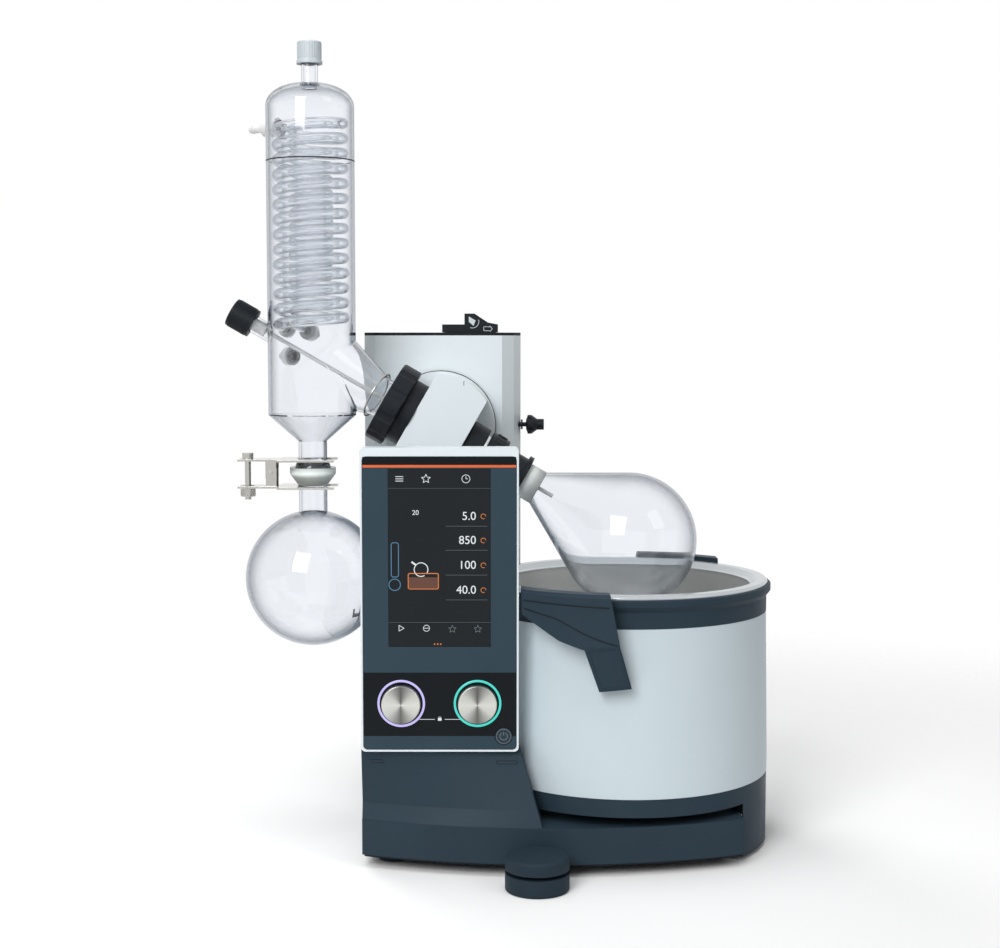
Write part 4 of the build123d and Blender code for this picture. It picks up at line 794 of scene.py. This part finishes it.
tiltMark = {"x": 0.0258, "low": 0.0438, "high": 0.048, "wide": 0.0006, "proud": 0.0001, "deep": 0.0003}
markX = tiltPoint.x + tiltMark["x"]
markLow, markHigh = tiltPoint.z + tiltMark["low"], tiltPoint.z + tiltMark["high"]
markFront = frontOf("head_housing", markX, markLow) - tiltMark["proud"]
stroke = rectangle(markX - tiltMark["wide"] / 2, markX + tiltMark["wide"] / 2, markLow, markHigh)
place("tiltMark", flatPlates([stroke], markFront, tiltMark["deep"]), black, "head")
print("slots and tilt mark placed")


# black lines in the creases on the wing of each bath grip, painted shade where the wing bends, and a border
# on its leg, as (x, z) from the bath's axis and the top of the shell
gripTrim = {
    "crease": [(-0.0175, -0.0112), (-0.032, -0.0072), (-0.0468, -0.0016), (-0.0714, 0.0107), (-0.1, 0.0172)],
    "fold": [(-0.025, 0.0225), (-0.06, 0.0235), (-0.1, 0.0245)],
    "leg": [(-0.0437, -0.0165), (-0.0317, -0.0517), (-0.0072, -0.0487), (-0.0172, -0.0132)],
    "line": 0.0009, "border": 0.0016, "step": 0.003, "proud": 0.0005, "deep": 0.0009,
}
bathLow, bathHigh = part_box("bath_vessel")
gripX, gripY = (bathLow.x + bathHigh.x) / 2, (bathLow.y + bathHigh.y) / 2
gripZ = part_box("bath_shell")[1].z


def onGrip(x, z):
    return frontOf("bath_collar", x, z) - gripTrim["proud"]


def gripLine(points, width, closed=False):
    # a line on the grip in short steps, so that it follows the curved front
    corners = [Vector((gripX + x, gripZ + z)) for x, z in points]
    ends = corners[1:] + corners[:1] if closed else corners[1:]
    dense = []
    for start, end in zip(corners, ends):
        count = max(1, round((end - start).length / gripTrim["step"]))
        dense += [tuple(start.lerp(end, k / count)) for k in range(count)]
    if not closed:
        dense.append(tuple(corners[-1]))
    return ribbon(dense, width, closed)


turnRound = Matrix.Translation((gripX, gripY, 0)) @ Matrix.Rotation(radians(180), 4, "Z")
turnRound = turnRound @ Matrix.Translation((-gripX, -gripY, 0))
# black crease and fold lines: painted shade in the creases of the grip's wing
creaseShades = gripLine(gripTrim["crease"], gripTrim["line"]) + gripLine(gripTrim["fold"], gripTrim["line"])
border = gripLine(gripTrim["leg"], gripTrim["border"], closed=True)
for name, shapes, finish in (("gripFoldShade", creaseShades, black), ("gripBorder", border, slate)):
    for number, turn in enumerate((Matrix.Identity(4), turnRound)):
        mesh = flatPlates(shapes, onGrip, gripTrim["deep"])
        mesh.transform(turn)
        place(name + str(number), mesh, finish, "bath")
print("grips creased")

# black ring round the tilting disc, where it meets the column: painted shade for the shadow in the gap
# between them
discGapShade = {"inner": 0.0546, "outer": 0.0557, "near": 0.0856, "far": 0.0878, "steps": 160}
gapShadeSection = rectangle(discGapShade["inner"], discGapShade["outer"], discGapShade["near"], discGapShade["far"])
faceBack = Matrix.Rotation(radians(-90), 4, "X")
place("discGapShade", lathe(gapShadeSection, discGapShade["steps"], upright(tiltPoint) @ faceBack), black, "head")

# pointer and arrow printed on the slider
sliderPrint = {
    "pointer": (-0.0268, 0.5012), "bow": (0.0066, -110, 15),
    "flag": [(-0.0036, 0.005), (0.0034, 0.001), (0.0012, -0.0044), (-0.0036, -0.0004)],
    "arrow": (-0.011, 0.4938),
    "shaft": [(-0.0042, -0.002), (0.002, -0.002), (0.002, -0.003), (0.0045, 0),
              (0.002, 0.003), (0.002, 0.002), (-0.0042, 0.002)],
    "stroke": 0.0006, "proud": 0.0001, "deep": 0.0002,
}
printWhite = moulding("printWhite", (0.5, 0.56, 0.6), (0.56, 0.62, 0.66), grain=900, bump=0.03,
                      low=0.4, high=0.5, edge=0)
px, pz = sliderPrint["pointer"]
ax, az = sliderPrint["arrow"]
signs = [[(px + dx, pz + dz) for dx, dz in sliderPrint["flag"]]]
signs += ribbon(arc(px, pz, *sliderPrint["bow"]), sliderPrint["stroke"])
shaft = [(ax + dx, az + dz) for dx, dz in sliderPrint["shaft"]]
signs += ribbon(shaft, sliderPrint["stroke"], closed=True)
sliderLow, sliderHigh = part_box("top_slider")
signPlates = flatPlates(signs, sliderLow.y - sliderPrint["proud"], sliderPrint["deep"])
place("sliderPrint", signPlates, printWhite, "top_slider")
print("disc gap and slider print placed")


# back of the column: vent slots and cover screws

def slotTree():
    tree = bpy.data.node_groups.new("slotRows", "GeometryNodeTree")
    for label, kind in [("Columns", "NodeSocketInt"), ("Rows", "NodeSocketInt"),
                        ("Wide", "NodeSocketFloat"), ("Tall", "NodeSocketFloat"),
                        ("Size", "NodeSocketVector"), ("Finish", "NodeSocketMaterial")]:
        tree.interface.new_socket(name=label, in_out="INPUT", socket_type=kind)
    tree.interface.new_socket(name="Geometry", in_out="OUTPUT", socket_type="NodeSocketGeometry")
    entry = tree.nodes.new("NodeGroupInput")
    leave = tree.nodes.new("NodeGroupOutput")
    grid = tree.nodes.new("GeometryNodeMeshGrid")
    bar = tree.nodes.new("GeometryNodeMeshCube")
    stand = tree.nodes.new("GeometryNodeInstanceOnPoints")
    real = tree.nodes.new("GeometryNodeRealizeInstances")
    paint = tree.nodes.new("GeometryNodeSetMaterial")
    link = tree.links.new
    link(entry.outputs["Columns"], grid.inputs["Vertices X"])
    link(entry.outputs["Rows"], grid.inputs["Vertices Y"])
    link(entry.outputs["Wide"], grid.inputs["Size X"])
    link(entry.outputs["Tall"], grid.inputs["Size Y"])
    link(entry.outputs["Size"], bar.inputs["Size"])
    link(grid.outputs["Mesh"], stand.inputs["Points"])
    link(bar.outputs["Mesh"], stand.inputs["Instance"])
    link(stand.outputs["Instances"], real.inputs["Geometry"])
    link(real.outputs["Geometry"], paint.inputs["Geometry"])
    link(entry.outputs["Finish"], paint.inputs["Material"])
    link(paint.outputs["Geometry"], leave.inputs["Geometry"])
    return tree


slotRows = slotTree()
coverLow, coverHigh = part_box("rear_cover")
vents = {"columns": 3, "rows": 9, "wide": 0.084, "tall": 0.072, "size": (0.03, 0.003, 0.0003), "down": 0.075}
ventValues = {"Columns": vents["columns"], "Rows": vents["rows"], "Wide": vents["wide"],
              "Tall": vents["tall"], "Size": vents["size"], "Finish": black}
ventSpot = Vector(((coverLow.x + coverHigh.x) / 2, coverHigh.y, coverHigh.z - vents["down"]))
growTree("coverVents", slotRows, ventValues, upright(ventSpot) @ faceBack, black, "lift")

screws = {"radius": 0.003, "height": 0.0012, "socket": 0.0015, "inset": 0.007, "sunk": 0.0001,
          "shoulder": 0.7, "crown": 0.85, "floor": 0.4, "middle": 0.00001, "steps": 32}
screwFloor = screws["height"] * screws["floor"]
screwSection = [(screws["middle"], 0), (screws["radius"], 0),
                (screws["radius"], screws["height"] * screws["shoulder"]),
                (screws["radius"] * screws["crown"], screws["height"]), (screws["socket"], screws["height"]),
                (screws["socket"], screwFloor), (screws["middle"], screwFloor)]
screwXs = (coverLow.x + screws["inset"], coverHigh.x - screws["inset"])
screwZs = (coverLow.z + screws["inset"], coverHigh.z - screws["inset"])
for number, (x, z) in enumerate([(x, z) for x in screwXs for z in screwZs]):
    spot = Vector((x, coverHigh.y - screws["sunk"], z))
    screw = lathe(screwSection, screws["steps"], upright(spot) @ faceBack)
    place("coverScrew" + str(number), screw, machined, "lift")
print("back of the column dressed")


# knobs: spun faces with painted highlights and shade

def spunSteelPaintedSheen(name, middle):
    # spun face of a knob: painted highlights and painted shade, bright and dark sectors by the angle round
    # its axis standing in for the streaked reflections of spun metal
    material, tree, shader = newMaterial(name)
    spot = tree.nodes.new("ShaderNodeTexCoord")
    shift = tree.nodes.new("ShaderNodeMapping")
    shift.inputs["Location"].default_value = (-middle.x, -middle.z, 0)
    flat = tree.nodes.new("ShaderNodeSeparateXYZ")
    join = tree.nodes.new("ShaderNodeCombineXYZ")
    angle = tree.nodes.new("ShaderNodeTexGradient")
    angle.gradient_type = "RADIAL"
    paintedSheenRamp = tree.nodes.new("ShaderNodeValToRGB")
    # bright and dark sectors round the axis: painted highlights and painted shade
    shades = [(0, 0.6), (0.1, 0.52), (0.18, 0.3), (0.25, 0.13), (0.32, 0.3), (0.4, 0.52), (0.5, 0.62),
              (0.6, 0.5), (0.68, 0.28), (0.75, 0.11), (0.82, 0.28), (0.9, 0.5), (1, 0.6)]
    ramp = paintedSheenRamp.color_ramp.elements
    ramp[0].position, ramp[1].position = shades[0][0], shades[-1][0]
    for position, shade in shades[1:-1]:
        ramp.new(position)
    for element, (position, shade) in zip(ramp, shades):
        element.color = (shade, shade * 1.01, shade * 0.95, 1)
    link = tree.links.new
    link(spot.outputs["Object"], flat.inputs[0])
    link(flat.outputs["X"], join.inputs["X"])
    link(flat.outputs["Z"], join.inputs["Y"])
    link(join.outputs[0], shift.inputs["Vector"])
    link(shift.outputs[0], angle.inputs["Vector"])
    link(angle.outputs["Fac"], paintedSheenRamp.inputs["Fac"])
    link(paintedSheenRamp.outputs["Color"], shader.inputs["Base Color"])
    spun = {"Along X": 30, "Along Y": 2500, "Along Z": 30, "Rough Low": 0.26, "Rough High": 0.38}
    turned = useGroup(tree, brushGroup, spun)
    link(turned.outputs["Roughness"], shader.inputs["Roughness"])
    addBump(tree, shader, turned.outputs["Height"], 0.06, 0.0001, 0.0006)
    shader.inputs["Metallic"].default_value = 1
    return material


for side in ("left", "right"):
    low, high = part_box(side + "_knob")
    knob = nodes[side + "_knob"]
    knob.data.materials.clear()
    knob.data.materials.append(spunSteelPaintedSheen(side + "KnobPaintedSheen", (low + high) / 2))
print("knobs dressed")


# floor: a round sheet that fades out into the white behind it

ground = {"radius": 1.5, "inner": 0.55, "outer": 1.3, "color": (0.92, 0.92, 0.92), "sides": 96}
mesh = bpy.data.meshes.new("floor")
groundTurns = [tau * k / ground["sides"] for k in range(ground["sides"])]
rim = [(ground["radius"] * cos(turn), ground["radius"] * sin(turn), 0) for turn in groundTurns]
mesh.from_pydata(rim, [], [list(range(ground["sides"]))])
floor = bpy.data.objects.new("floor", mesh)
scene.collection.objects.link(floor)
paint, tree, shader = newMaterial("floorPaint")
shader.inputs["Base Color"].default_value = (*ground["color"], 1)
shader.inputs["Roughness"].default_value = 0.9
spot = tree.nodes.new("ShaderNodeTexCoord")
away = tree.nodes.new("ShaderNodeVectorMath")
away.operation = "LENGTH"
fade = tree.nodes.new("ShaderNodeMapRange")
fade.interpolation_type = "SMOOTHSTEP"
fade.inputs["From Min"].default_value = ground["inner"]
fade.inputs["From Max"].default_value = ground["outer"]
clear = tree.nodes.new("ShaderNodeBsdfTransparent")
blend = tree.nodes.new("ShaderNodeMixShader")
tree.links.new(spot.outputs["Object"], away.inputs[0])
tree.links.new(away.outputs["Value"], fade.inputs["Value"])
tree.links.new(fade.outputs[0], blend.inputs[0])
tree.links.new(shader.outputs[0], blend.inputs[1])
tree.links.new(clear.outputs[0], blend.inputs[2])
tree.links.new(blend.outputs[0], tree.nodes["Material Output"].inputs["Surface"])
mesh.materials.append(paint)

print("scene ready")
